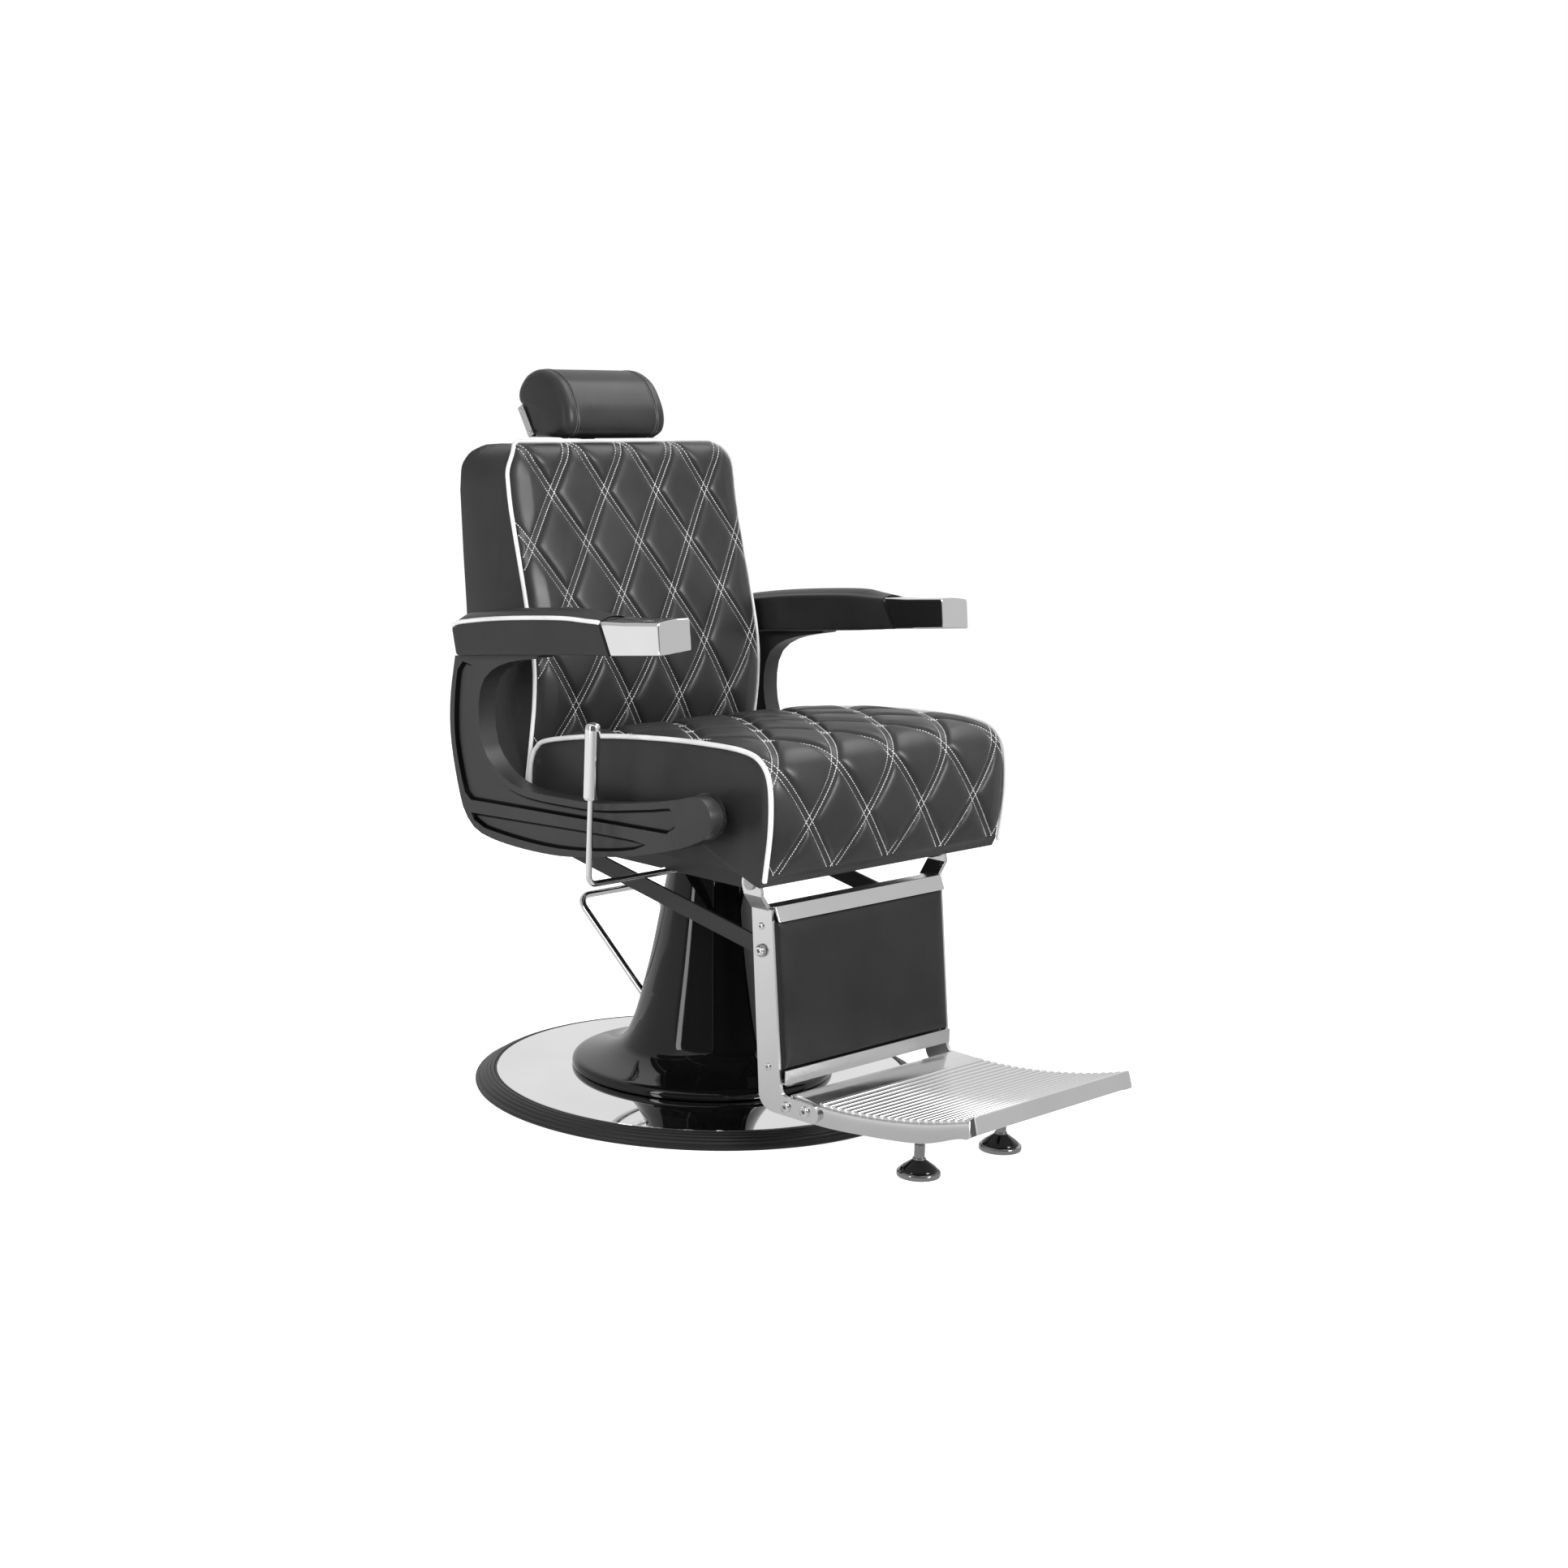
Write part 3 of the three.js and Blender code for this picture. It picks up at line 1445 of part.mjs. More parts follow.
function armCasting() {
  const lower = smoothRun(
    [
      [228, padUnder(228) - gap],
      [237, 597],
      [233, 533],
      [210, 454],
      [191, 423],
      [159, 405],
      [86, 397.5],
      [-12, 399.6],
      [-99, 413],
      [-164, 425],
      [-250, 449],
      [-279, 460.5],
      [-298, 470.5],
      [-308.5, 487],
      [-311, 502],
      [-305, 514.5],
      [-291.5, 524.5],
      [-273, 525.5],
    ],
    44,
  );
  const upper = smoothRun(
    [
      [-247, 518],
      [-184, 504],
      [-96, 489.6],
      [-28, 485],
      [66, 485],
      [115, 497],
      [153, 524],
      [169, 557],
      [172, 605],
      [159, 639],
      [120, 663],
      [48, 680],
    ],
    32,
  );
  const tip = new THREE.Vector2(44, padUnder(44) - gap);
  const body = slabX(new THREE.Shape([...lower, ...upper, tip]), armInner, armOuter);
  const hollow = smoothRun(
    [
      [-227, 467],
      [-244, 480],
      [-238, 503],
      [-184, 494],
      [-96, 479.6],
      [-28, 475],
      [66, 475],
      [120, 488],
      [162, 518],
      [180, 557],
      [183, 605],
      [176, 640],
      [196, 655],
      [219, 650],
      [227, 597],
      [223, 533],
      [200, 462],
      [186, 452],
    ],
    46,
  );
  const leaf = smoothRun(
    [
      [185, 433],
      [64, 438.5],
      [-74, 445],
      [-185, 446],
      [-143, 429],
      [-31, 412],
      [63, 409],
      [159, 415],
      [178, 423],
    ],
    28,
  );
  const recess = (points) => {
    const ring = (x, line) => line.map((p) => new THREE.Vector3(x, p.x, p.y));
    const rings = [
      ring(armOuter + 1, points),
      ring(armOuter, points),
      ring(armOuter - armRecessDepth, inset(points, armRecessDraft)),
    ];
    return loft(rings, (p) => new THREE.Vector2(p.y, p.z));
  };
  return join(cut(body, recess(hollow), recess(leaf)), armKnuckle());
}

// A point of an arm pad: x across, t forward along the underside, h square above it.
const padTilt = Math.atan(padSlope);
function padPoint(x, t, h) {
  const y = padRearY - t * Math.cos(padTilt) + h * Math.sin(padTilt);
  const z = padRearZ + t * Math.sin(padTilt) + h * Math.cos(padTilt);
  return new THREE.Vector3(x, y, z);
}

// One section of a pad or a cap, drawn in by the inset; the shear leans its top to the rear.
function padSection(t, height, crown, inset, shear) {
  const x0 = padInner + inset;
  const x1 = padOuter - inset;
  const half = (x1 - x0) / 2;
  const corner = 5;
  const steps = 8;
  const points = [
    [x0, corner + inset],
    [x0 + corner, inset],
    [x1 - corner, inset],
    [x1, corner + inset],
  ];
  for (let i = 0; i <= steps; i++) {
    const share = 1 - (2 * i) / steps;
    points.push([x0 + half + half * share, height - inset + crown * (1 - share ** 2)]);
  }
  return points.map(([x, h]) => padPoint(x, t - shear * h, h));
}

const padStations = [
  [6, 48, padRearShear],
  [24, 53, 0.1],
  [110, 57, 0],
  [230, 56, 0],
  [300, 51, 0.2],
  [padLength - gap, 48.6, padJointShear],
];
const capTongue = 60;

function capInside(clearance) {
  const inset = capWall + clearance;
  const to = capEnd - capWall - clearance;
  return loft([
    padSection(padLength - 12, capHeight + 1, capCrown, inset, padJointShear),
    padSection(padLength + 30, capHeight, capCrown, inset, 0.1),
    padSection(to, capHeight, capCrown, inset, 0),
  ]);
}

function armPad() {
  const body = loft([
    padSection(0, 40, 2, 8, padRearShear),
    ...padStations.map(([t, height, shear]) => padSection(t, height, padCrown, 0, shear)),
  ]);
  const tongueEnd = loft([
    padSection(padLength + capTongue, 80, 10, -20, 0),
    padSection(capEnd + 40, 80, 10, -20, 0),
  ]);
  const pocketHalf = armPlateHalfWidth + gap;
  const pocket = plateBar(armPlateStart - gap, armPlateEnd + gap, pocketHalf, -2, armPlateThickness + gap);
  return cut(join(body, cut(capInside(gap), tongueEnd)), pocket);
}

// A flat bar along a pad's underside, between two places along it and two heights.
function plateBar(from, to, half, low, high) {
  const middle = (padInner + padOuter) / 2;
  const ring = (t) => [
    padPoint(middle - half, t, low),
    padPoint(middle + half, t, low),
    padPoint(middle + half, t, high),
    padPoint(middle - half, t, high),
  ];
  return loft([ring(from), ring(to)]);
}

function armPlate() {
  return plateBar(armPlateStart, armPlateEnd, armPlateHalfWidth, 0, armPlateThickness);
}

function armCap() {
  const outside = loft([
    padSection(padLength, 48.6, capCrown, 0, padJointShear),
    padSection(padLength + 30, capHeight + 1, capCrown, 0, 0.1),
    padSection(capEnd - 3, capHeight, capCrown, 0, 0),
    padSection(capEnd, capHeight - 1, capCrown / 2, 2.5, 0),
  ]);
  return cut(outside, capInside(0));
}

addPair("seat", "arm_casting", armCasting(), blackSatin);
addPair("seat", "arm_plate", armPlate(), steel);
addPair("seat", "arm_pad", armPad(), vinyl);
addPair("seat", "arm_cap", armCap(), chrome);

// ---------------------------------------------------------------- hand lever
function leverBracket() {
  const inner = leverSocketInnerX + gap;
  const outer = inner + leverLugThickness;
  const top = mountHeight - gap;
  const shape = new THREE.Shape();
  shape.moveTo(leverY + leverLugHalf, top);
  shape.lineTo(leverY - leverLugHalf, top);
  shape.lineTo(leverY - leverLugHalf, leverZ);
  shape.absarc(leverY, leverZ, leverLugHalf - 2, Math.PI, 2 * Math.PI, false);
  shape.lineTo(leverY + leverLugHalf, leverZ);
  const lug = slabX(shape, inner, outer, 8);
  return cut(lug, rodX(leverRodRadius + pinClearance, inner - 1, outer + 1, leverY, leverZ));
}

function handLever() {
  const rod = bentRod(
    [
      new THREE.Vector3(leverX, leverY, leverTop - 6),
      new THREE.Vector3(leverX, leverY, leverZ),
      new THREE.Vector3(leverEndX, leverY, leverZ),
    ],
    leverRodRadius,
    leverBendRadius,
    12,
  );
  const socket = rodX(leverSocketRadius, leverSocketOuterX, leverSocketInnerX, leverY, leverZ, 20);
  return join(rod, socket);
}

function leverGrip() {
  const bore = leverRodRadius + gap;
  const grip = turned(
    [
      [bore, leverGripBottom],
      [leverGripRadius - 1.5, leverGripBottom],
      [leverGripRadius, leverGripBottom + 1.5],
      [leverGripRadius, leverTop - 4],
      [leverGripRadius - 4, leverTop],
      [0, leverTop],
      [0, leverTop - 5],
      [bore, leverTop - 5],
    ],
    sides.small,
  );
  return grip.translate([leverX, leverY, 0]);
}

add("seat", "lever_bracket", leverBracket(), steel);
add("lever", "hand_lever", handLever(), chrome);
add("lever", "lever_grip", leverGrip(), rubber);

// The seat and all that hangs on it stand on the ram, so a taller column lifts them.
const seatRise = ramFlangeTop + gap + hubHeight + gap - mountHeight;
for (const name of ["seat", "lever", "back", "post", "headrest", "legrest", "links", "feet"]) {
  groups[name].position.z = seatRise;
}

export default chair;
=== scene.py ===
"""Looks of the hydraulic barber chair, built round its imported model.

The chair faces -Y, the sitter's right arm is on the -X side, +Z is up. Sizes are written in
millimetres and turned into metres when a mesh is made. Only the stage is written in metres.
"""

import json
import math
from contextlib import contextmanager

import bmesh
import bpy
import numpy as np
from mathutils import Matrix, Vector

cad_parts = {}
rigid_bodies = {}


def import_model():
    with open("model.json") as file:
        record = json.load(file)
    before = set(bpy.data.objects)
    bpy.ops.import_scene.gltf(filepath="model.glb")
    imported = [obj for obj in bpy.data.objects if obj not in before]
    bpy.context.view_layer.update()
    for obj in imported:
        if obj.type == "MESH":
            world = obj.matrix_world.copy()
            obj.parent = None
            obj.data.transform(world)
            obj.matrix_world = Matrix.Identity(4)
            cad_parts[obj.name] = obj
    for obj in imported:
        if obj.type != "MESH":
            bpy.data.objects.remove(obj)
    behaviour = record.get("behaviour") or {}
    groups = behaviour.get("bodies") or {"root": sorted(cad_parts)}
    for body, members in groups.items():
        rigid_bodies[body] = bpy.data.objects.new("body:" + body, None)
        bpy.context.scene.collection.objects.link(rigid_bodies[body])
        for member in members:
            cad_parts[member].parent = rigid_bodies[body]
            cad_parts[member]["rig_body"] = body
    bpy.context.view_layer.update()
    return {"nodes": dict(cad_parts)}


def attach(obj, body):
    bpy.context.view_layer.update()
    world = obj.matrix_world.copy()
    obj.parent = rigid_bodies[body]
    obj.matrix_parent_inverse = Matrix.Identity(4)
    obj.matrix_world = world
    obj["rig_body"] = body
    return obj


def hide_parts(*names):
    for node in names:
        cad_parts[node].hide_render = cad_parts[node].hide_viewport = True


MM = 0.001
SIDES = (("left", 1), ("right", -1))
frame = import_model()


# ---------------------------------------------------------------- node materials
def feed(tree, target, inputs):
    """Gives each named or numbered input a value or another node's output."""
    for key, value in inputs.items():
        if isinstance(value, bpy.types.NodeSocket):
            tree.links.new(value, target.inputs[key])
        else:
            target.inputs[key].default_value = value


def add_node(tree, kind, inputs=()):
    made = tree.nodes.new("ShaderNode" + kind)
    feed(tree, made, dict(inputs))
    return made


def new_material(name):
    material = bpy.data.materials.new(name)
    material.use_nodes = True
    tree = material.node_tree
    return material, tree, tree.nodes["Principled BSDF"]


def coordinates(tree, scale=(1, 1, 1)):
    """Object coordinates in metres, stretched by the scale."""
    place = add_node(tree, "TexCoord").outputs["Object"]
    return add_node(tree, "Mapping", {"Vector": place, "Scale": scale}).outputs["Vector"]


def noise(tree, vector, scale, detail=3.0, roughness=0.5):
    inputs = {"Vector": vector, "Scale": scale, "Detail": detail, "Roughness": roughness}
    return add_node(tree, "TexNoise", inputs).outputs["Fac"]


def ranged(tree, value, low, high, from_low=0.3, from_high=0.7):
    inputs = {"Value": value, "From Min": from_low, "From Max": from_high, "To Min": low, "To Max": high}
    return add_node(tree, "MapRange", inputs).outputs["Result"]


def grey(level):
    return (level, level, level, 1)


def two_tone(tree, value, dark, light, at=(0.35, 0.65)):
    """From one grey to another as the value goes from the first place to the second."""
    ramp = add_node(tree, "ValToRGB", {"Fac": value})
    for stop, place, level in zip(ramp.color_ramp.elements, at, (dark, light)):
        stop.position = place
        stop.color = grey(level)
    return ramp.outputs["Color"]


def bump(tree, height, strength, distance, under=None):
    """A bump's normal, its distance in millimetres; it may lie on top of another bump."""
    inputs = {"Height": height, "Strength": strength, "Distance": distance * MM}
    if under is not None:
        inputs["Normal"] = under
    return add_node(tree, "Bump", inputs).outputs["Normal"]


def vinyl(name, level, roughness=0.37):
    """Smooth upholstery vinyl: a fine pebble grain over soft waves, and a slightly uneven sheen."""
    material, tree, shader = new_material(name)
    place = coordinates(tree)
    cells = add_node(tree, "TexVoronoi", {"Vector": place, "Scale": 900}).outputs["Distance"]
    grain = add_node(tree, "Math", {0: cells, 1: noise(tree, place, 420, 2)}).outputs[0]
    waves = bump(tree, noise(tree, place, 22, 3, 0.45), 0.35, 2.5)
    soft = noise(tree, place, 14, 4)
    inputs = {
        "Base Color": two_tone(tree, soft, level * 0.9, level * 1.12),
        "Roughness": ranged(tree, soft, roughness - 0.04, roughness + 0.05),
        "Specular IOR Level": 0.36,
        "Normal": bump(tree, grain, 0.18, 0.12, waves),
    }
    feed(tree, shader, inputs)
    return material


def metal(name, level, roughness, spread=0.03, brushed=False):
    """Bare or plated metal; brushed metal has fine scratches along Z."""
    material, tree, shader = new_material(name)
    place = coordinates(tree, (1, 1, 0.02) if brushed else (1, 1, 1))
    fine = noise(tree, place, 2600 if brushed else 60, 3)
    cloud = noise(tree, coordinates(tree), 6, 3)
    inputs = {
        "Metallic": 1,
        "Base Color": two_tone(tree, cloud, 0.94 * level, level),
        "Roughness": ranged(tree, fine, roughness - spread, roughness + spread),
    }
    if brushed:
        inputs["Normal"] = bump(tree, fine, 0.03, 0.015)
    feed(tree, shader, inputs)
    return material


def painted(name, level, roughness, texture=0.0, scale=350, specular=0.5):
    """Paint, rubber, thread or casting: two close tones, and a fine surface texture where asked."""
    material, tree, shader = new_material(name)
    place = coordinates(tree)
    cloud = noise(tree, place, 9, 4)
    inputs = {
        "Base Color": two_tone(tree, cloud, level * 0.88, level * 1.12),
        "Roughness": ranged(tree, cloud, roughness - 0.02, roughness + 0.03),
        "Specular IOR Level": specular,
    }
    if texture:
        inputs["Normal"] = bump(tree, noise(tree, place, scale, 5), texture, 0.1)
    feed(tree, shader, inputs)
    return material


BLACK_VINYL = vinyl("black vinyl", 0.026)
CALF_VINYL = vinyl("calf vinyl", 0.013)
PIPING = vinyl("white piping", 0.88, 0.4)
THREAD = painted("white thread", 0.88, 0.7, 0.5, 2500)
DARK_THREAD = painted("dark thread", 0.16, 0.6, 0.4, 2500)
CHROME = metal("chrome", 0.88, 0.045, 0.015)
# Chrome at a much lower level, for the feet: a painted dark reflection of their surroundings.
FOOT_CHROME_PAINTED_DARK = metal("foot chrome with painted dark reflection", 0.38, 0.08, 0.02)
ALUMINIUM = metal("satin aluminium", 0.80, 0.2, 0.015)
ALUMINIUM_STRUT = metal("satin aluminium along", 0.82, 0.22, 0.02, brushed=True)
POLISHED = metal("polished aluminium", 0.78, 0.15, 0.02)
STEEL = metal("zinc steel", 0.5, 0.35, 0.05)
BRIGHT_STEEL = metal("bright steel", 0.62, 0.28, 0.03)
GLOSS = painted("gloss black", 0.006, 0.05)
CASTING = painted("satin black casting", 0.03, 0.36, 0.12, 700)
KNUCKLE = painted("gloss casting", 0.02, 0.2, 0.06, 700)
# Near-black paint for an arm recess's walls and the floor band beside them: painted shade where the
# recess lies in shadow.
RECESS_PAINTED_SHADE = painted("painted recess shade", 0.002, 0.3, specular=0.12)
# Near-black faces of the chrome arm caps towards the sitter: a painted reflection of the dark chair
# beside them.
CAP_PAINTED_REFLECTION = painted("cap side painted dark reflection", 0.004, 0.5, 0.1)
FRAME_BLACK = painted("black frame paint", 0.02, 0.35, 0.1)
RUBBER = painted("black rubber", 0.010, 0.42, 0.3, 900)
IRON = painted("cast iron", 0.045, 0.6, 0.6, 300)


# ---------------------------------------------------------------- pieces
def placed(name, data):
    """A new object in the scene."""
    made = bpy.data.objects.new(name, data)
    bpy.context.scene.collection.objects.link(made)
    return made


def settle(made, body, replaces=()):
    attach(made, body)
    if replaces:
        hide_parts(*replaces)


@contextmanager
def edited(mesh, source=None):
    """A mesh, or another one to start from, opened for changes that are written to the mesh."""
    work = bmesh.new()
    work.from_mesh(mesh if source is None else source)
    yield work
    work.to_mesh(mesh)
    work.free()


def edge_turn(edge):
    """The angle between an edge's two faces, or none at an open edge."""
    return edge.calc_face_angle(0.0) if len(edge.link_faces) == 2 else 0.0


def sharpen(mesh, angle):
    """Smooth shading, broken at edges that turn by more than the angle in degrees."""
    with edited(mesh) as work:
        bmesh.ops.recalc_face_normals(work, faces=work.faces)
        for edge in work.edges:
            edge.smooth = edge_turn(edge) < math.radians(angle)
        for face in work.faces:
            face.smooth = True


def piece(name, points, faces, material, body, replaces=(), smooth_angle=None):
    """A mesh from points in millimetres that rides on a body."""
    mesh = bpy.data.meshes.new(name)
    points = np.asarray(points, float) * MM
    mesh.from_pydata(points.tolist(), [], faces)
    mesh.validate()
    mesh.shade_smooth()
    mesh.materials.append(material)
    made = placed(name, mesh)
    if smooth_angle is not None:
        sharpen(mesh, smooth_angle)
    settle(made, body, replaces)
    return made


def dress(name, material, bevel=0.6, steps=2):
    """A copy of a CAD node's shape with small rounded edges, standing for the node."""
    source = frame["nodes"][name]
    mesh = bpy.data.meshes.new("dressed_" + name)
    with edited(mesh, source.data) as work:
        bmesh.ops.remove_doubles(work, verts=work.verts, dist=2e-6)
        flat = math.radians(0.5)
        bmesh.ops.dissolve_limit(work, angle_limit=flat, verts=work.verts, edges=work.edges)
        bmesh.ops.recalc_face_normals(work, faces=work.faces)
        sharp = [edge for edge in work.edges if edge_turn(edge) > math.radians(28)]
        size = {"offset": bevel * MM, "segments": steps, "profile": 0.5}
        bmesh.ops.bevel(work, geom=sharp, affect="EDGES", clamp_overlap=True, **size)
    mesh.materials.append(material)
    sharpen(mesh, 40)
    made = placed("dressed_" + name, mesh)
    even = made.modifiers.new("flat faces", "WEIGHTED_NORMAL")
    even.keep_sharp = True
    even.weight = 80
    settle(made, source["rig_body"], [name])
    return made


def baked(made):
    """Applies an object's modifiers to its mesh."""
    graph = bpy.context.evaluated_depsgraph_get()
    mesh = bpy.data.meshes.new_from_object(made.evaluated_get(graph))
    made.modifiers.clear()
    made.data = mesh


def carve(made, low, high):
    """Cuts the box between two corners out of a piece."""
    mesh = bpy.data.meshes.new("cutter")
    with edited(mesh) as work:
        bmesh.ops.create_cube(work, size=1)
        for vert in work.verts:
            spot = [a + (b - a) * (share + 0.5) for a, b, share in zip(low, high, vert.co)]
            vert.co = Vector(spot) * MM
    cutter = placed("cutter", mesh)
    cut = made.modifiers.new("pocket", "BOOLEAN")
    cut.operation = "DIFFERENCE"
    cut.object = cutter
    cut.solver = "EXACT"
    baked(made)
    bpy.data.objects.remove(cutter)


# ---------------------------------------------------------------- points and faces
def unit(vectors):
    """Each vector at length 1."""
    vectors = np.asarray(vectors, float)
    return vectors / np.maximum(np.linalg.norm(vectors, axis=-1, keepdims=True), 1e-9)


def sided(points, sign):
    """The same points, or with sign -1 those of the other side."""
    return np.asarray(points, float) * np.array([sign, 1, 1])


def at_x(x, section):
    """A (y, z) section as points at one x."""
    return np.column_stack([np.full(len(section), float(x)), section])


def full_turn(count):
    return np.linspace(0, 2 * math.pi, count, endpoint=False)


def turned(profile, count, centre=(0, 0)):
    """The points of a (radius, height) profile turned about an upright line, ring by ring."""
    turns = full_turn(count)
    x, y = centre
    return [(x + r * math.cos(t), y + r * math.sin(t), z) for r, z in profile for t in turns]


def grid_faces(rows, columns, closed_rows=False, closed_columns=False):
    """Quads of a grid of rows x columns points, numbered row by row."""
    faces = []
    for i in range(rows if closed_rows else rows - 1):
        for k in range(columns if closed_columns else columns - 1):
            a = i * columns + k
            b = i * columns + (k + 1) % columns
            c = ((i + 1) % rows) * columns + (k + 1) % columns
            d = ((i + 1) % rows) * columns + k
            faces.append((a, b, c, d))
    return faces


def loft_mesh(rings):
    """Points and faces of closed rings joined one to the next, with a cap on both ends."""
    count = len(rings[0])
    faces = grid_faces(len(rings), count, closed_columns=True)
    total = len(rings) * count
    faces += [tuple(range(count))[::-1], tuple(range(total - count, total))]
    return np.vstack(rings), faces


def joined(parts):
    """Several (points, faces) as one."""
    points, faces, start = [], [], 0
    for some, cells in parts:
        points.append(np.asarray(some, float))
        faces += [tuple(i + start for i in cell) for cell in cells]
        start += len(some)
    return np.vstack(points), faces


def spread(knots, count):
    """Evenly spaced points on straight lines through the knots."""
    knots = np.asarray(knots, float)
    length = np.concatenate([[0], np.cumsum(np.linalg.norm(np.diff(knots, axis=0), axis=1))])
    stops = np.linspace(0, length[-1], count)
    return np.stack([np.interp(stops, length, column) for column in knots.T], 1)


def curve_through(points, count):
    """Evenly spaced points of a smooth curve through the given ones, in two or three dimensions."""
    knots = np.asarray(points, float)
    knots = np.vstack([2 * knots[0] - knots[1], knots, 2 * knots[-1] - knots[-2]])
    t = np.linspace(0, 1, 40, endpoint=False)[:, None]
    dense = []
    for p0, p1, p2, p3 in zip(knots, knots[1:], knots[2:], knots[3:]):
        bend = (2 * p0 - 5 * p1 + 4 * p2 - p3) * t**2 + (3 * p1 - p0 - 3 * p2 + p3) * t**3
        dense.append(0.5 * (2 * p1 + (p2 - p0) * t + bend))
    return spread(np.vstack([*dense, knots[-2]]), count)


def rounded(profile, radii, steps=5):
    """The points of a profile, each corner rounded by its own radius; 0 leaves it sharp."""
    out = []
    for i, (corner, radius) in enumerate(zip(profile, radii)):
        if not radius:
            out.append(corner)
            continue
        here = np.array(corner, float)
        before, after = np.array(profile[i - 1]) - here, np.array(profile[i + 1]) - here
        reach = min(radius, 0.49 * np.linalg.norm(before), 0.49 * np.linalg.norm(after))
        start, end = here + unit(before) * reach, here + unit(after) * reach
        for t in np.linspace(0, 1, steps + 1):
            out.append(tuple((1 - t) ** 2 * start + 2 * t * (1 - t) * here + t * t * end))
    return out


def bent_path(corners, bend, steps=10):
    """Points along straight runs joined by round bends."""
    corners = np.asarray(corners, float)
    path = [corners[0]]
    for last, corner, following in zip(corners, corners[1:], corners[2:]):
        before, after = unit(last - corner), unit(following - corner)
        half = math.acos(float(np.clip(before @ after, -1, 1))) / 2
        centre = corner + unit(before + after) * bend / math.sin(half)
        start = corner + before * bend / math.tan(half) - centre
        end = corner + after * bend / math.tan(half) - centre
        total = math.acos(float(np.clip(start @ end / bend**2, -1, 1)))
        for t in np.linspace(0, 1, steps + 1):
            a = math.sin((1 - t) * total) / math.sin(total)
            b = math.sin(t * total) / math.sin(total)
            path.append(centre + a * start + b * end)
    return np.array([*path, corners[-1]])


def domed(path, radii, dome):
    """Rounds both ends of a tube."""
    turns = np.linspace(0, math.pi / 2, 5)[:-1, None]
    start, end = unit(path[0] - path[1]), unit(path[-1] - path[-2])
    first = path[0] + start * dome * np.cos(turns)
    last = path[-1] + end * dome * np.cos(turns[::-1])
    small = np.maximum(radii[0] - dome + dome * np.sin(turns[:, 0]), 0.05)
    return np.vstack([first, path, last]), np.concatenate([small, radii, small[::-1]])


def tube_mesh(path, radius, sides, dome=0.0):
    """Points and faces of a round tube along a path, its ends domed where asked."""
    path = np.asarray(path, float)
    radii = np.full(len(path), float(radius))
    if dome:
        path, radii = domed(path, radii, dome)
    along = unit(np.gradient(path, axis=0))
    side = np.array([0.0, 0.0, 1.0])
    if abs(along[0] @ side) > 0.9:
        side = np.array([0.0, 1.0, 0.0])
    turn = full_turn(sides)[:, None]
    rings = []
    for place, tangent, r in zip(path, along, radii):
        side = unit(side - tangent * (side @ tangent))
        other = np.cross(tangent, side)
        rings.append(place + r * (np.cos(turn) * side + np.sin(turn) * other))
    return loft_mesh(rings)


def prism_x(profile, x0, x1, round_by, steps):
    """A closed (y, z) outline extruded along X, its two ends rounded inwards."""
    profile = np.asarray(profile, float)
    after = np.roll(profile, -1, axis=0) - profile
    before = profile - np.roll(profile, 1, axis=0)
    along = unit(unit(after) + unit(before))
    y, z = profile.T
    area = np.sum(y * np.roll(z, -1) - np.roll(y, -1) * z)
    inward = np.stack([-along[:, 1], along[:, 0]], 1) * (1 if area > 0 else -1)
    stations = []
    for turn in np.linspace(math.pi / 2, 0, steps + 1):
        stations.append((x0 + round_by * (1 - math.sin(turn)), round_by * (1 - math.cos(turn))))
    stations += [(x0 + x1 - x, inset) for x, inset in stations[::-1]]
    return loft_mesh([at_x(x, profile + inward * inset) for x, inset in stations])


def sleeve_x(outer, bore, at):
    """A bored sleeve along X about the line at (y, z); outer holds (radius, x) pairs."""
    profile = [(bore, outer[0][1]), *outer, (bore, outer[-1][1])]
    points = np.roll(turned(profile, 48, at), 1, axis=1)
    return points, grid_faces(len(profile), 48, closed_rows=True, closed_columns=True)


def lathe(name, profile, material, body, replaces=(), centre=(0, 0), count=192, angle=30):
    """A piece from a (radius, height) profile, which starts and ends on the axis or closes on itself."""
    on_axis = profile[0][0] < 1e-6 and profile[-1][0] < 1e-6
    faces = grid_faces(len(profile), count, closed_rows=not on_axis, closed_columns=True)
    made = piece(name, turned(profile, count, centre), faces, material, body, replaces)
    with edited(made.data) as work:
        bmesh.ops.remove_doubles(work, verts=work.verts, dist=1e-6)
    sharpen(made.data, angle)


def piping(name, path, body, radius):
    """A round white welt that stands proud of the seam it follows."""
    points, faces = tube_mesh(curve_through(path, len(path)), radius, 14, dome=2.5)
    piece(name, points, faces, PIPING, body, smooth_angle=50)


def threads(name, starts, ends, ups, body, radius=0.56, material=THREAD):
    """Many short stitches, each a flat-ended thread that stands a little above the cover."""
    along = unit(ends - starts)
    across = unit(np.cross(ups, along))
    ups = np.cross(along, across)
    sections = [(0.0, -0.3, 0.6), (0.18, 0.75, 1.0), (0.82, 0.75, 1.0), (1.0, -0.3, 0.6)]
    corners = [(-1, -0.6), (1, -0.6), (1, 0.5), (0, 1.1), (-1, 0.5)]
    rings = []
    for share, rise, size in sections:
        middle = starts + (ends - starts) * share + ups * rise * radius
        for a, b in corners:
            rings.append(middle + across * a * radius * size + ups * b * radius * size)
    points = np.stack(rings, 1).reshape(-1, 3)
    per = len(sections) * len(corners)
    pattern = grid_faces(len(sections), len(corners), closed_columns=True)
    faces = [tuple(i + n * per for i in cell) for n in range(len(starts)) for cell in pattern]
    piece(name, points, faces, material, body)


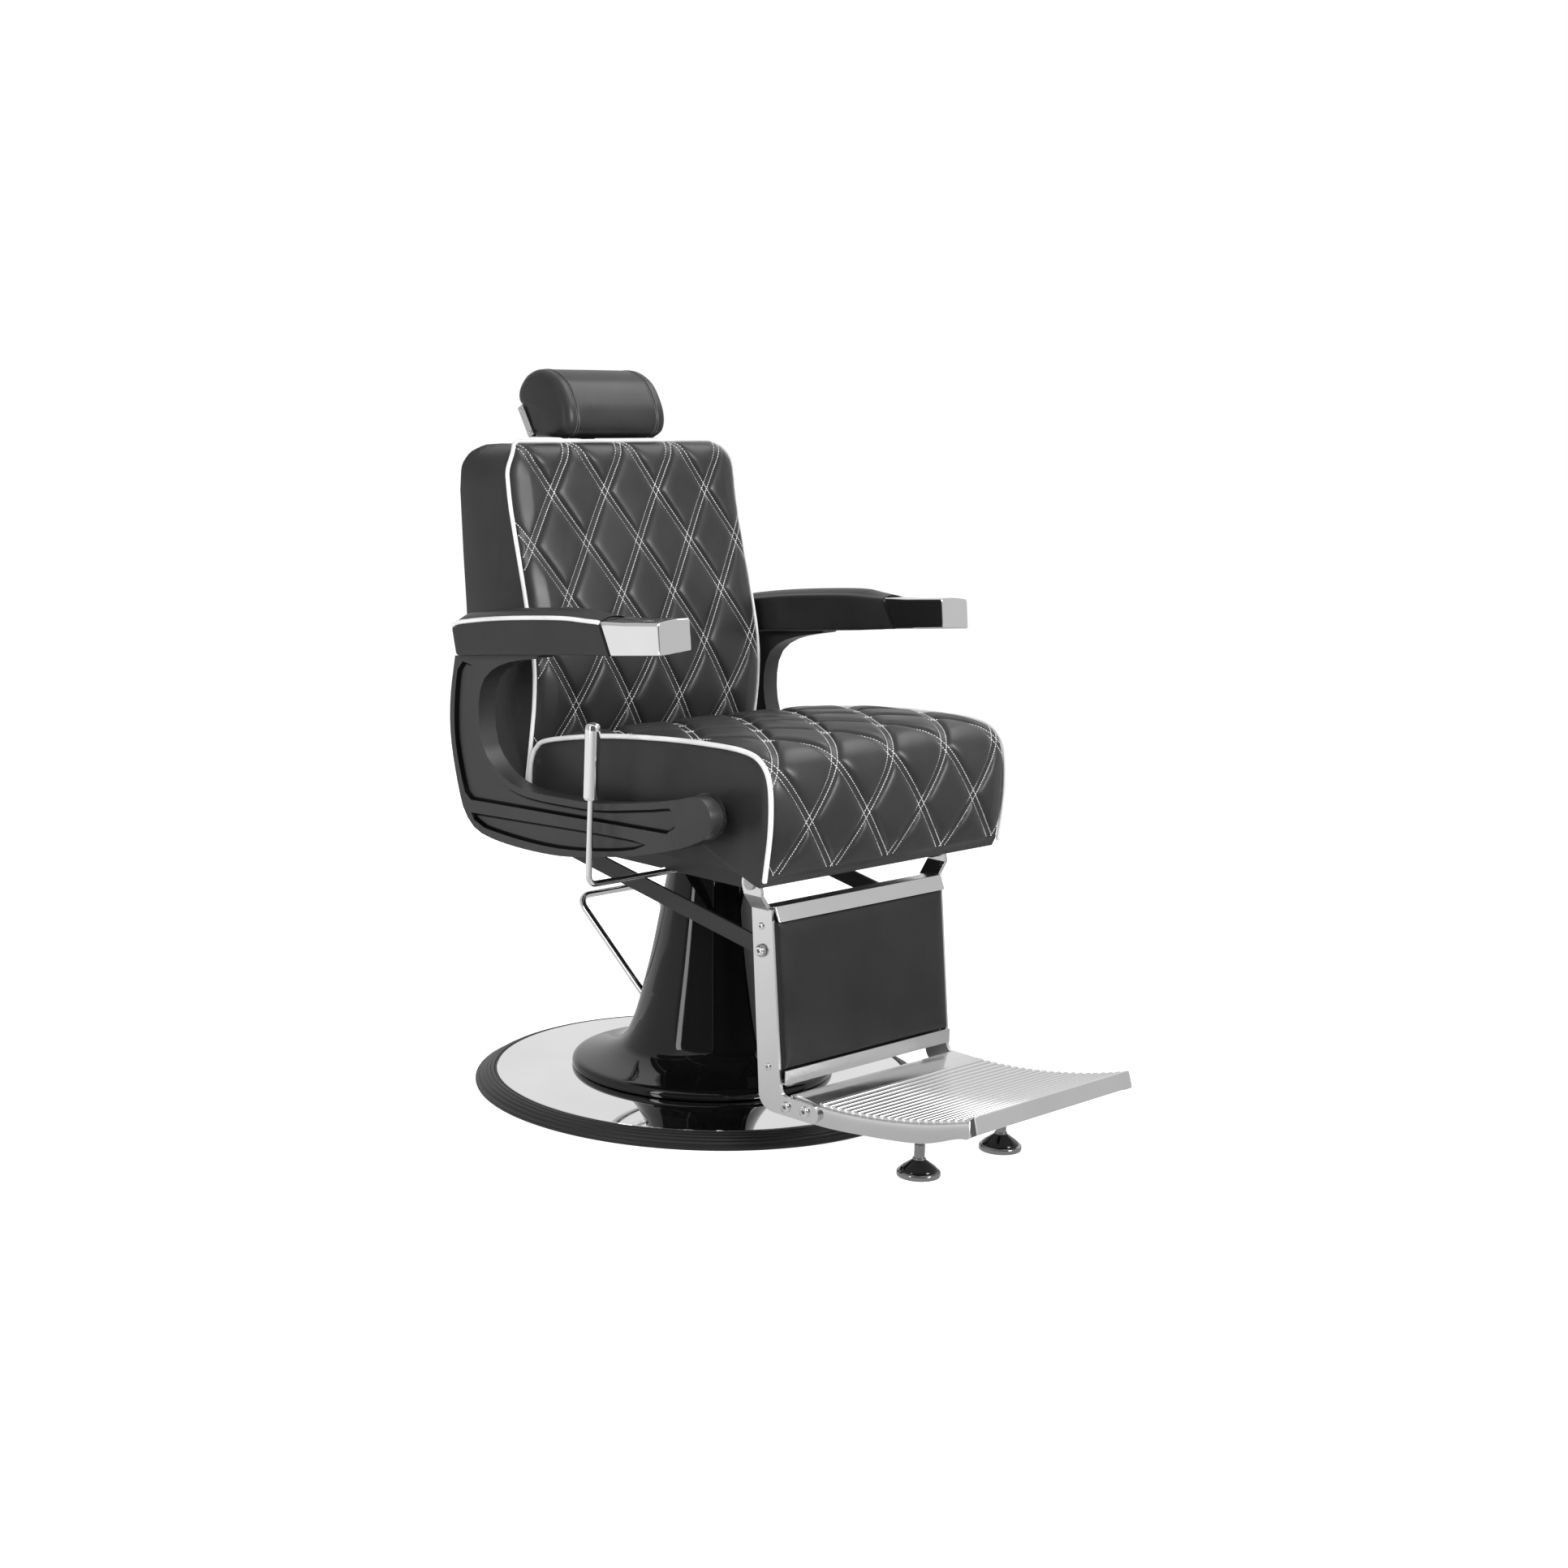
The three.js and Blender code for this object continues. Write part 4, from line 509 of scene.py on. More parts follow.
def bolt(name, centre, sign, radius, height, body):
    """A round-headed bolt whose head stands out along X, with a hexagon socket."""
    turns = full_turn(48)
    hexagon = math.cos(math.pi / 6) / np.cos(turns % (math.pi / 3) - math.pi / 6)
    socket = 0.5 * radius * hexagon
    rings = [(radius, -0.4), (radius, 0.35 * height)]
    for size, share in ((0.94, 0.6), (0.8, 0.9), (0.66, 1.0)):
        rings.append((radius * size, height * (0.35 + 0.65 * share)))
    rings += [(socket, height), (socket * 0.96, height * 0.25), (0.01, height * 0.2)]
    points = []
    for size, rise in rings:
        section = np.column_stack([sign * size * np.cos(turns), size * np.sin(turns)])
        points.append(np.asarray(centre) + at_x(sign * rise, section))
    faces = grid_faces(len(rings), 48, closed_columns=True) + [tuple(range(48))[::-1]]
    piece(name, np.vstack(points), faces, CHROME, body, smooth_angle=38)


# ---------------------------------------------------------------- quilted cushions
ROW_HALF = 4.8  # each seam has two rows of stitches, this far from its middle
PILLOW_REACH = 7.0  # a diamond rises beside its seams over about this distance
ROLL_WIDTH = 16  # of the roll beside a cushion's edges
FADE_WIDTH = 34  # the diamonds fade out this near to the edges
STITCH_PITCH = 4.1
STITCH_LENGTH = 3.0
STITCH_MARGIN = 3.5
WIDEST = 600  # seams are laid out at least this far across
PANEL_DRAW = 0.32  # how far in the first third of a side panel's rings reach


class Run:
    """The middle line of a cushion's face in the YZ plane, by distance along it."""

    def __init__(self, knots):
        self.line = curve_through(knots, 900)
        step = np.linalg.norm(np.diff(self.line, axis=0), axis=1)
        self.stops = np.concatenate([[0], np.cumsum(step)])
        self.length = float(self.stops[-1])
        along = unit(np.gradient(self.line, axis=0))
        self.normals = np.stack([-along[:, 1], along[:, 0]], 1)

    def at(self, s):
        return [np.interp(s, self.stops, column) for column in self.line.T]

    def normal(self, s):
        return [np.interp(s, self.stops, column) for column in self.normals.T]

    def above(self, s, rise):
        """The place at a distance along the line, moved out from it by the rise."""
        (y, z), (out_y, out_z) = self.at(s), self.normal(s)
        return y + out_y * rise, z + out_z * rise


def shoulder(distance, reach):
    """From 0 at an edge, round up to 1 at the reach, and level past it."""
    t = np.clip(distance / reach, 0, 1)
    return np.sqrt(np.clip(1 - (1 - t) ** 2, 0, 1))


def pillow(distance):
    """From 0 beside a seam's stitches up towards 1 inside a diamond."""
    return 1 - np.exp(-np.clip(distance - ROW_HALF - 1, 0, None) / PILLOW_REACH)


class Quilt:
    """A face with diamonds, crown and a roll beside its edges."""

    def __init__(self, run, width_at, pitch, rows, phase, crown, roll, puff):
        self.run, self.width_at = run, width_at
        self.across = pitch / 4
        self.along = run.length / rows
        self.phase = phase
        self.crown, self.roll, self.puff = crown, roll, puff
        self.slope = math.hypot(1 / self.across, 1 / self.along)

    def seam_distance(self, x, s, sign):
        u = x / self.across + sign * (s / self.along + self.phase)
        return np.abs((u + 2) % 4 - 2) / self.slope

    def height(self, x, s):
        first, second = (pillow(self.seam_distance(x, s, sign)) for sign in (1, -1))
        soft = np.sqrt(np.clip(first * second, 0, 1)) * self.puff
        width = self.width_at(self.run.at(s)[1])
        edge = np.minimum(width - np.abs(x), np.minimum(s, self.run.length - s))
        side = np.clip(1 - (np.abs(x) / width) ** 2, 0, 1)
        ends = np.clip(np.sin(math.pi * np.clip(s / self.run.length, 0, 1)), 0, 1) ** 0.5
        fade = np.clip(edge / FADE_WIDTH, 0, 1) ** 0.8
        return self.crown * np.sqrt(side) * ends + self.roll * shoulder(edge, ROLL_WIDTH) + soft * fade

    def point(self, x, s):
        return np.stack([x, *self.run.above(s, self.height(x, s))], -1)

    def normal(self, x, s):
        step = 0.8
        dx = self.point(x + step, s) - self.point(x - step, s)
        ds = self.point(x, s + step) - self.point(x, s - step)
        normal = unit(np.cross(dx, ds))
        out_y, out_z = self.run.normal(s)
        flip = np.where(normal[..., 1] * out_y + normal[..., 2] * out_z < 0, -1.0, 1.0)
        return normal * flip[..., None]

    def stitch_row(self, sign, seam, row):
        """The starts, ends and up directions of the stitches in one row beside a seam."""
        across, along = unit([-sign * self.across / self.along, 1.0])
        count = int(self.run.length / along / STITCH_PITCH)
        t = (np.arange(count) + 0.5 * (seam % 2)) * STITCH_PITCH
        x = self.across * (4 * seam - sign * self.phase) + across * t + along * row
        s = along * t - across * row
        inside = np.abs(x) < self.width_at(self.run.at(s)[1]) - STITCH_MARGIN
        inside &= (s > STITCH_MARGIN) & (s < self.run.length - STITCH_MARGIN)
        x, s = x[inside], s[inside]
        dx, ds = across * STITCH_LENGTH, along * STITCH_LENGTH
        return self.point(x, s), self.point(x + dx, s + ds), self.normal(x + dx / 2, s + ds / 2)

    def stitches(self):
        """All stitches, in two rows to each seam."""
        reach = int(WIDEST / (4 * self.across)) + int(self.run.length / (4 * self.along)) + 2
        rows = []
        for sign in (1, -1):
            for seam in range(-reach, reach + 1):
                rows += [self.stitch_row(sign, seam, row) for row in (-ROW_HALF, ROW_HALF)]
        return [np.vstack(part) for part in zip(*rows)]


def side_panel(quilt, outline, bulge):
    """Rings that close a cushion's +X side, drawn in towards the outline's middle."""
    weights = np.linalg.norm(outline - np.roll(outline, 1, axis=0), axis=1)
    middle = (outline * weights[:, None]).sum(0) / weights.sum()
    rings = []
    for step in np.linspace(0, 1, 15)[1:]:
        inwards = min(np.interp(step, (0, 1 / 3, 1), (0, PANEL_DRAW, 1)), 0.995)
        drawn = outline + (middle - outline) * inwards
        swell = bulge * math.sin(step * math.pi / 2) ** 0.8
        rings.append(np.column_stack([quilt.width_at(drawn[:, 1]) + swell, drawn]))
    return rings


def quilted_cushion(name, quilt, rest, bulge, grid, body, node):
    """A closed cushion: the quilted face, the rest of its side outline and two padded side panels."""
    s = np.linspace(0, quilt.run.length, int(quilt.run.length / grid))
    face_width = quilt.width_at(quilt.run.at(s)[1])
    rest_width = quilt.width_at(rest[:, 1])
    columns = int(2 * float(np.max(face_width)) / grid) | 1
    rings = []
    for share in np.linspace(-1, 1, columns):
        back = np.column_stack([share * rest_width, rest])
        rings.append(np.vstack([quilt.point(share * face_width, s), back]))
    panel = side_panel(quilt, rings[0][:, 1:], bulge)
    rings = [sided(ring, -1) for ring in panel[::-1]] + rings + panel
    points, faces = loft_mesh(rings)
    made = piece(name, points, faces, BLACK_VINYL, body, [node], smooth_angle=48)


SEAT_HALF = 256
SEAT_FACE = [
    (-351, 414), (-358, 488), (-354, 546), (-338, 573), (-308, 583), (-250, 584),
    (-150, 579), (-26, 566), (86, 545), (113, 530), (122, 509),
]
SEAT_REST = [(124, 480), (90, 418), (-298, 418), (-330, 406), (-345, 402)]
SEAT_PIPING_END = [(127.5, 492), (127.0, 478), (122.0, 463)]
BACK_HALF = 240
BACK_CORNER = 46
BACK_TOP = 972
BACK_FACE = [
    (157, 468), (149, 540), (144, 603), (148, 665), (167, 741),
    (185, 805), (206, 879), (216, 930), (222, 958), (238, BACK_TOP),
]
BACK_REAR = [(276, 468), (289, 600), (300, 723), (310, 805), (320, 900)]
BACK_REST = [(272, 972), (297, 969), (312, 957), (318.5, 938), *BACK_REAR[::-1]]


def back_width(z):
    over = np.clip((np.asarray(z, float) - (BACK_TOP - BACK_CORNER)) / BACK_CORNER, 0, 0.98)
    return BACK_HALF - BACK_CORNER * (1 - np.sqrt(1 - over**2))


def seat_width(z):
    return np.full(np.shape(z), float(SEAT_HALF))


def seat():
    run = Run(SEAT_FACE)
    quilt = Quilt(run, seat_width, 120, 17, 0, crown=5, roll=3, puff=7.5)
    quilted_cushion("seat_upholstery", quilt, spread(SEAT_REST, 70), 4, 2.3, "seat", "seat_cushion")
    threads("seat_stitches", *quilt.stitches(), "seat")
    edge = np.column_stack(run.above(np.linspace(0, run.length, 160), 4.6))
    path = at_x(SEAT_HALF + 1.2, np.vstack([edge, SEAT_PIPING_END]))
    for side, sign in SIDES:
        piping("seat_piping_" + side, sided(path, sign), "seat", 3.7)


def back():
    run = Run(BACK_FACE)
    quilt = Quilt(run, back_width, 109, 13, -1, crown=8, roll=6, puff=7.5)
    quilted_cushion("back_upholstery", quilt, spread(BACK_REST, 90), 4, 2.2, "back", "back_cushion")
    threads("back_stitches", *quilt.stitches(), "back")
    s = np.linspace(0, run.length, 140)
    z = run.at(s)[1]
    proud = 3.4 + 3.2 * np.clip((z - 925) / 40, 0, 1)
    side = np.column_stack([-(back_width(z) + 1.0), *run.above(s, proud)])
    top = np.linspace(side[-1], sided(side[-1], -1), 80)
    piping("back_piping", np.vstack([side, top[1:-1], sided(side, -1)[::-1]]), "back", 3.1)


# ---------------------------------------------------------------- base, column and pedal
COVER = 318
COVER_BORE = 182
COVER_WALL = 2.5
RING_OUT = 350
RIM = 21
CROWN = 28
SHROUD = [
    (199, 28.3), (201.6, 30.2), (202, 33.6), (200.6, 38.5), (196, 42.6), (185, 45.6), (170, 49.3),
    (155, 53.6), (142, 58.6), (131.5, 64.4), (123.5, 72), (117.5, 80.5), (112.5, 92), (107, 108),
    (101, 131), (94.5, 160), (88, 190), (82.2, 220), (75.6, 260), (69.4, 300), (63, 340),
]
SLOT_X = (44, 64)  # the pedal's two slots in the rear of the shroud
SLOT_Z = (108, 154)
SLOT_RADII = (106.9, 95.9)  # the shroud's radius at the slots' lower and upper ends
PEDAL_AXIS = (60, 108)


def cover_top(radius):
    share = min((COVER - radius) / (COVER - 202), 1)
    return RIM + (CROWN - RIM) * math.sin(share * math.pi / 2)


def base_cover():
    radii = np.linspace(COVER - 1.2, COVER_BORE + 2, 24)
    upper = [(COVER, 4), (COVER, RIM - 1.6), (COVER - 0.4, RIM - 0.5)]
    upper += [(r, cover_top(r)) for r in radii] + [(COVER_BORE, CROWN)]
    lower = [(COVER_BORE, CROWN - COVER_WALL)]
    lower += [(max(r - COVER_WALL, COVER_BORE), cover_top(r) - COVER_WALL) for r in radii[::-1]]
    profile = upper + lower + [(COVER - COVER_WALL, 4)]
    lathe("chrome_cover", profile, CHROME, "base", ["base_cover"])


def base_ring():
    """The rubber ring, with grooves round its slope."""
    inner, outer = COVER + 0.3, RING_OUT
    slope = []
    for share in np.linspace(0, 1, 90):
        radius = inner + 3 + (outer - 3 - inner - 3) * share
        height = RIM - 14 * share**1.5
        groove = 1.8 * abs(math.sin(math.pi * 4.5 * share)) ** 0.35 if share < 0.98 else 1.6
        slope.append((radius, height - 1.8 + groove))
    profile = [(inner, 0), (outer - 3, 0), (outer - 0.8, 1), (outer, 3), (outer, 5.4)]
    profile += [(outer - 0.8, 6.8), *slope[::-1], (inner + 1.5, RIM - 0.2), (inner, RIM - 1.2)]
    lathe("rubber_ring", profile, RUBBER, "base", ["base_ring"], angle=50)


def in_slot(x, y, z):
    return y > 40 and SLOT_X[0] < abs(x) < SLOT_X[1] and SLOT_Z[0] < z < SLOT_Z[1]


def column():
    """The shroud as one wall; rings lie level with the slots' ends, and the slots' faces are left out."""
    line = [tuple(p) for p in curve_through(SHROUD, 120)]
    line = [p for p in line if min(abs(p[1] - z) for z in SLOT_Z) >= 2]
    line = sorted([*line, *zip(SLOT_RADII, SLOT_Z)], key=lambda p: p[1])
    points = turned(line, 192)
    faces = []
    for face in grid_faces(len(line), 192, closed_columns=True):
        if not in_slot(*np.mean([points[i] for i in face], axis=0)):
            faces.append(face)
    made = piece("column_shell", points, faces, GLOSS, "base", ["column_shroud"])
    wall = made.modifiers.new("wall", "SOLIDIFY")
    wall.thickness = 4 * MM
    wall.offset = -1
    baked(made)
    sharpen(made.data, 35)


def pump():
    collar = [(28, 340.3), (64, 340.3), (64, 345.5), (60, 348.3), (28, 348.3)]
    collar = rounded(collar, [0, 1, 2, 2, 0])
    lathe("collar", collar, CHROME, "base", ["pump_collar"])
    ram = [(0, 110), (27, 110), (27, 350), (40, 350), (40, 356), (20, 356), (20, 376), (0, 376)]
    ram = rounded(ram, [0, 1, 1, 1, 1, 1, 1, 0])
    lathe("ram", ram, CHROME, "ram", ["piston_ram"], count=96)
    hub = [(20.3, 356.3), (46, 356.3), (46, 376), (56, 386.7), (0, 386.7), (0, 378), (20.3, 378)]
    lathe("hub", hub, FRAME_BLACK, "seat", ["swivel_hub"], count=96)


def pedal():
    corners = [(-46, *PEDAL_AXIS), (-85, 204, 270), (85, 204, 270), (46, *PEDAL_AXIS)]
    loop = tube_mesh(bent_path(corners, 20), 5.5, 24)
    hub = sleeve_x([(11, -54), (11, 54)], 6.3, PEDAL_AXIS)
    points, faces = joined([loop, hub])
    piece("pedal_loop", points, faces, CHROME, "pedal", ["foot_pedal"], smooth_angle=40)


def base():
    base_cover()
    base_ring()
    column()
    pump()
    pedal()
    dress("base_disc", IRON, 1.0)
    dress("pump_cylinder", STEEL, 0.4)
    dress("pump_bracket", IRON, 0.8)
    dress("pedal_shaft", STEEL, 0.4)


# ---------------------------------------------------------------- frame under the seat
def seat_frame():
    dress("seat_mount", IRON, 1.0)
    dress("cross_bar_front", FRAME_BLACK, 0.8)
    dress("cross_bar_rear", FRAME_BLACK, 0.8)
    dress("seat_board", FRAME_BLACK, 0.6)
    dress("lever_bracket", STEEL, 0.6)
    dress("back_cross_tube", STEEL, 0.3)
    dress("headrest_socket", STEEL, 0.4)
    dress("back_panel", BLACK_VINYL, 1.6, steps=3)
    for side, _ in SIDES:
        dress("side_rail_" + side, FRAME_BLACK, 0.8)
        dress("arm_outrigger_" + side, FRAME_BLACK, 0.8)
        dress("leg_pivot_pin_" + side, STEEL, 0.8)
        dress("back_pivot_pin_" + side, STEEL, 0.8)
        dress("back_lever_" + side, STEEL, 0.6)
        dress("link_rear_pin_" + side, STEEL, 0.6)
        dress("arm_plate_" + side, STEEL, 0.4)
        dress("recline_link_" + side, FRAME_BLACK, 0.9)


# ---------------------------------------------------------------- headrest
HEAD_HALF = 108
HEAD_OUTLINE = [
    (252, 981), (236, 992), (232, 1011), (240, 1036), (262, 1066),
    (297, 1081), (327, 1074), (345, 1054), (347, 1036), (337, 1024),
]
HEAD_FLAT = np.array([(337.0, 1024.0), (309.0, 979.0)])  # the straight rear face
HEAD_FLAT_OUT = np.array([-0.849, 0.528])
HEAD_CENTRE = np.array([292.0, 1026.0])
HEAD_EDGE = 15.0
HEAD_SEAM = HEAD_HALF - HEAD_EDGE - 9
HEAD_ROW_HALF = 2.4
HEAD_SOFT = 106  # points of the outline that swell and carry stitches
HEAD_POCKET = ((-24, 287, 900), (24, 400, 1015.5))  # clear of the bracket


def headrest_outline():
    around = curve_through(HEAD_OUTLINE, 110)
    flat = spread(HEAD_FLAT, 18)[1:]
    under = spread([HEAD_FLAT[1], HEAD_OUTLINE[0]], 18)[1:-1]
    return np.vstack([around, flat, under])


def headrest_rings(outline):
    """Flat end panels, round edges, and a shallow dip at each seam."""
    reach = np.linalg.norm(outline - HEAD_CENTRE, axis=1)[:, None]
    soft = 1.6 * (np.arange(len(outline)) < HEAD_SOFT)[:, None]

    def ring(x, inset, swell=1.0):
        drawn = reach * np.clip(1 - inset / reach, 0.02, 1) + soft * swell
        return at_x(x, HEAD_CENTRE + (outline - HEAD_CENTRE) / reach * drawn)

    rings = []
    for share in np.linspace(0, 1, 10)[:-1]:
        inset = HEAD_EDGE + 0.9 * (reach - HEAD_EDGE) * (1 - share)
        rings.append(ring(-HEAD_HALF - 2.5 * (1 - share) ** 0.5, inset, 0))
    for turn in np.linspace(0.15, math.pi / 2, 9):
        across, inset = HEAD_EDGE * (1 - math.cos(turn)), HEAD_EDGE * (1 - math.sin(turn))
        rings.append(ring(-HEAD_HALF + across, inset, math.sin(turn)))
    for x in np.linspace(-HEAD_HALF + HEAD_EDGE, 0, 60)[1:]:
        rings.append(ring(x, 1.3 * math.exp(-(((x + HEAD_SEAM) / 1.6) ** 2))))
    return rings + [sided(ring, -1) for ring in rings[-2::-1]]


def headrest_stitches(outline):
    """Two rows of dark stitches beside each of the two seams."""
    out = unit(outline[:HEAD_SOFT] - HEAD_CENTRE)
    spots = outline[:HEAD_SOFT] + out * 1.5
    begin = spots[:-1]
    end = begin + unit(np.diff(spots, axis=0)) * 2.4
    starts, ends, ups = [], [], []
    for seam in (-HEAD_SEAM, HEAD_SEAM):
        for x in (seam - HEAD_ROW_HALF, seam + HEAD_ROW_HALF):
            starts.append(at_x(x, begin))
            ends.append(at_x(x, end))
            ups.append(at_x(0, out[:-1]))
    stitches = [np.vstack(part) for part in (starts, ends, ups)]
    threads("headrest_stitches", *stitches, "headrest", 0.4, DARK_THREAD)


def headrest():
    outline = headrest_outline()
    points, faces = loft_mesh(headrest_rings(outline))
    replaced = ["headrest_cushion"]
    made = piece(
        "headrest_upholstery", points, faces, BLACK_VINYL, "headrest", replaced,
        smooth_angle=50,
    )
    carve(made, *HEAD_POCKET)
    sharpen(made.data, 50)
    headrest_stitches(outline)
    dress("headrest_post", CHROME, 0.7)
    dress("headrest_bracket", BRIGHT_STEEL, 0.5)
    for sign in (-1, 1):
        for i, along in enumerate((0.14, 0.86)):
            spot = HEAD_FLAT[1] + (HEAD_FLAT[0] - HEAD_FLAT[1]) * along + HEAD_FLAT_OUT * 4.4
            bolt(f"headrest_screw_{sign}_{i}", (sign * 111.3, *spot), sign, 2.7, 1.4, "headrest")


# ---------------------------------------------------------------- legrest and footplate
PLATE_HALF = 181.7  # also of the calf pad
CALF_LOW, CALF_HIGH = 128.0, 338.2
PLATE_REAR = -352
PLATE_FRONT = -677
PLATE_LEVEL = 96
PLATE_LEVEL_END = -400
PLATE_BEND = 924
PLATE_CORNER = 9.0
RIBS = 20
RIB_HEIGHT = 4.0
NOSE_DROP = 23.0
NOSE_LEAN = 7.0
FOOT_X, FOOT_Y = 92, -518
STRUT_BOLTS = [  # y, z, radius, height and distance from the middle plane
    (-288.3, 329, 5.2, 2.6, 188.0),
    (-291.7, 294.4, 7.6, 4.2, 192.0),
    (-312.3, 129.3, 5.2, 2.6, 188.0),
    (-349.7, 78.4, 8.2, 4.5, 188.0),
    (-386.1, 79.9, 8.2, 4.5, 188.0),
]


def strut_front(z):
    """The y of the struts' front face, which leans."""
    return -306.4 - 0.119 * (355 - z)


def finer_at_ends(low, high, count):
    """Places from low to high, closest together within 12 mm of either end."""
    near = np.linspace(0, 12, 9)
    return np.concatenate([low + near, np.linspace(low + 16, high - 16, count), high - near[::-1]])


def calf_rise(x, z):
    """How far the pad's front stands out: a soft edge and a crown."""
    edge = min(PLATE_HALF - abs(x), z - CALF_LOW, CALF_HIGH - z)
    share = (z - CALF_LOW) / (CALF_HIGH - CALF_LOW)
    crown = 5 * math.sin(math.pi * share) ** 0.7 * (1 - (x / PLATE_HALF) ** 2)
    return 1.5 + 6.5 * float(shoulder(edge, 24)) + crown


def calf_pad():
    xs = finer_at_ends(-PLATE_HALF, PLATE_HALF, 60)
    zs = finer_at_ends(CALF_LOW, CALF_HIGH, 36)
    columns, rows = len(xs), len(zs)
    points = [(x, strut_front(z) - calf_rise(x, z), z) for z in zs for x in xs]
    points += [(x, strut_front(z) + 6, z) for z in zs for x in xs]
    faces = grid_faces(rows, columns)
    offset = rows * columns
    faces += [tuple(i + offset for i in reversed(face)) for face in faces]
    border = list(range(columns)) + [r * columns + columns - 1 for r in range(1, rows)]
    border += [(rows - 1) * columns + k for k in range(columns - 2, -1, -1)]
    border += [r * columns for r in range(rows - 2, 0, -1)]
    for a, b in zip(border, border[1:] + border[:1]):
        faces.append((a, a + offset, b + offset, b))
    replaced = ["calf_pad"]
    made = piece(
        "calf_upholstery", points, faces, CALF_VINYL, "legrest", replaced,
        smooth_angle=60,
    )


def plate_top(y):
    """The height of the plate's top, which is level at the rear and bends upwards in front."""
    run = max(PLATE_LEVEL_END - y, 0)
    return PLATE_LEVEL + PLATE_BEND - math.sqrt(PLATE_BEND**2 - run**2)


def plate_deck():
    """The ribbed top of the footplate; its ribs end rounded, a little inside the skirts."""
    ribs_from, ribs_to = -402.0, PLATE_FRONT + 14
    pitch = (ribs_to - ribs_from) / RIBS
    rear = PLATE_REAR - 3.5
    top = [(rear, 90), (rear, 94.5), (PLATE_REAR - 5, PLATE_LEVEL), (-380, PLATE_LEVEL)]
    for i in range(RIBS):
        for share in [0, 0.09, *np.linspace(0.1, 0.9, 13), 0.91]:
            y = ribs_from + pitch * (i + share)
            swell = max(1 - abs((2 * share - 1) / 0.8) ** 2, 0) ** 0.5
            top.append((y, plate_top(y) - RIB_HEIGHT * (1 - swell)))
    top += [(ribs_to, plate_top(ribs_to) - 3), (ribs_to - 2, plate_top(ribs_to) - 0.4)]
    top += [(y, plate_top(y)) for y in np.linspace(ribs_to - 4, PLATE_FRONT + 4, 5)]
    under = [(y, plate_top(y) - RIB_HEIGHT - 4) for y in np.linspace(PLATE_FRONT + 4, rear, 30)]
    return prism_x(top + under, -PLATE_HALF + 2.6, PLATE_HALF - 2.6, 1.0, 3)


def band_stops():
    """Places (x, y, turn) on one half of the plate's border, from the rear to the nose's middle."""
    stops = [(-PLATE_HALF, y, 0.0) for y in np.linspace(PLATE_REAR, PLATE_FRONT + PLATE_CORNER, 50)]
    for turn in np.linspace(0, math.pi / 2, 13)[1:]:
        x = -PLATE_HALF + PLATE_CORNER * (1 - math.cos(turn))
        stops.append((x, PLATE_FRONT + PLATE_CORNER * (1 - math.sin(turn)), turn))
    edge = PLATE_HALF - PLATE_CORNER
    return stops + [(x, PLATE_FRONT, math.pi / 2) for x in np.linspace(-edge, 0, 20)[1:]]


def plate_band():
    """The two side skirts and the nose as one band round the plate, with round corners in plan."""
    low = [
        (-685, 104), (PLATE_FRONT + 17, 106), (PLATE_FRONT + 89, 82), (PLATE_FRONT + 204, 67.5),
        (-400, 63), (PLATE_REAR, 66),
    ]
    low_y, low_z = curve_through(low, 80).T
    nose = plate_top(PLATE_FRONT) - NOSE_DROP
    rings = []
    for x, y, turn in band_stops():
        share = math.sin(turn) ** 2
        top = plate_top(y) - (RIB_HEIGHT + 1) * (1 - share)
        base = (1 - share) * np.interp(y, low_y, low_z) + share * nose
        lean = NOSE_LEAN * share
        section = [(-4.0, top - 0.3), (-1.0, top), (-0.3, top - 0.3), (0.1, top - 1.2)]
        section += [(lean, base + 0.8), (lean - 0.6, base), (lean - 4, base)]
        ring = [(x - math.cos(turn) * d, y - math.sin(turn) * d, z) for d, z in section]
        rings.append(np.array(ring))
    return loft_mesh(rings + [sided(ring, -1) for ring in rings[-2::-1]])


def boss_mesh(x):
    """A boss under the plate, round a foot's stud."""
    profile = [(10, 76), (11, 77), (11, plate_top(FOOT_Y) - 6)]
    return loft_mesh(np.reshape(turned(profile, 48, (x, FOOT_Y)), (3, 48, 3)))


def footplate():
    lip = [(PLATE_REAR - 4, 70), (PLATE_REAR, 70), (PLATE_REAR, 95), (PLATE_REAR - 4, 95)]
    lip = prism_x(lip, -PLATE_HALF, PLATE_HALF, 0.6, 2)
    bosses = [boss_mesh(-FOOT_X), boss_mesh(FOOT_X)]
    points, faces = joined([plate_deck(), plate_band(), lip, *bosses])
    replaced = ["footplate"]
    piece(
        "foot_deck", points, faces, POLISHED, "legrest", replaced,
        smooth_angle=42,
    )


def foot(side, sign):
    """A levelling foot: chromed rim, black cone, and the sleeve and stud above them; the rim's and stud's
    chrome is darkened as a painted dark reflection.
    """
    body = "foot_" + side
    centre = (sign * FOOT_X, FOOT_Y)
    rim = [(0, 0), (31, 0), (31, 7.5), (27.5, 8.6), (24, 8.6), (0, 8.6)]
    rim = rounded(rim, [0, 2, 2, 1, 0, 0])
    lathe("foot_rim_" + side, rim, FOOT_CHROME_PAINTED_DARK, body, ["levelling_foot_" + side], centre)
    cone = [(0, 8.6), (27, 8.6), (25.5, 12), (15, 19.5), (9.5, 23.5), (0, 23.5)]
    cone = rounded(cone, [0, 1, 3, 6, 1, 0])
    lathe("foot_cone_" + side, cone, GLOSS, body, [], centre)
    stud = [(0, 23.5), (9.5, 23.5), (9.5, 26), (7.5, 27), (7.5, 45), (6.8, 46), (5, 46), (5, 79), (0, 79)]
    stud = rounded(stud, [0, 1, 1, 0.5, 1, 0.5, 0, 0.8, 0])
    lathe("foot_stud_" + side, stud, FOOT_CHROME_PAINTED_DARK, body, [], centre)


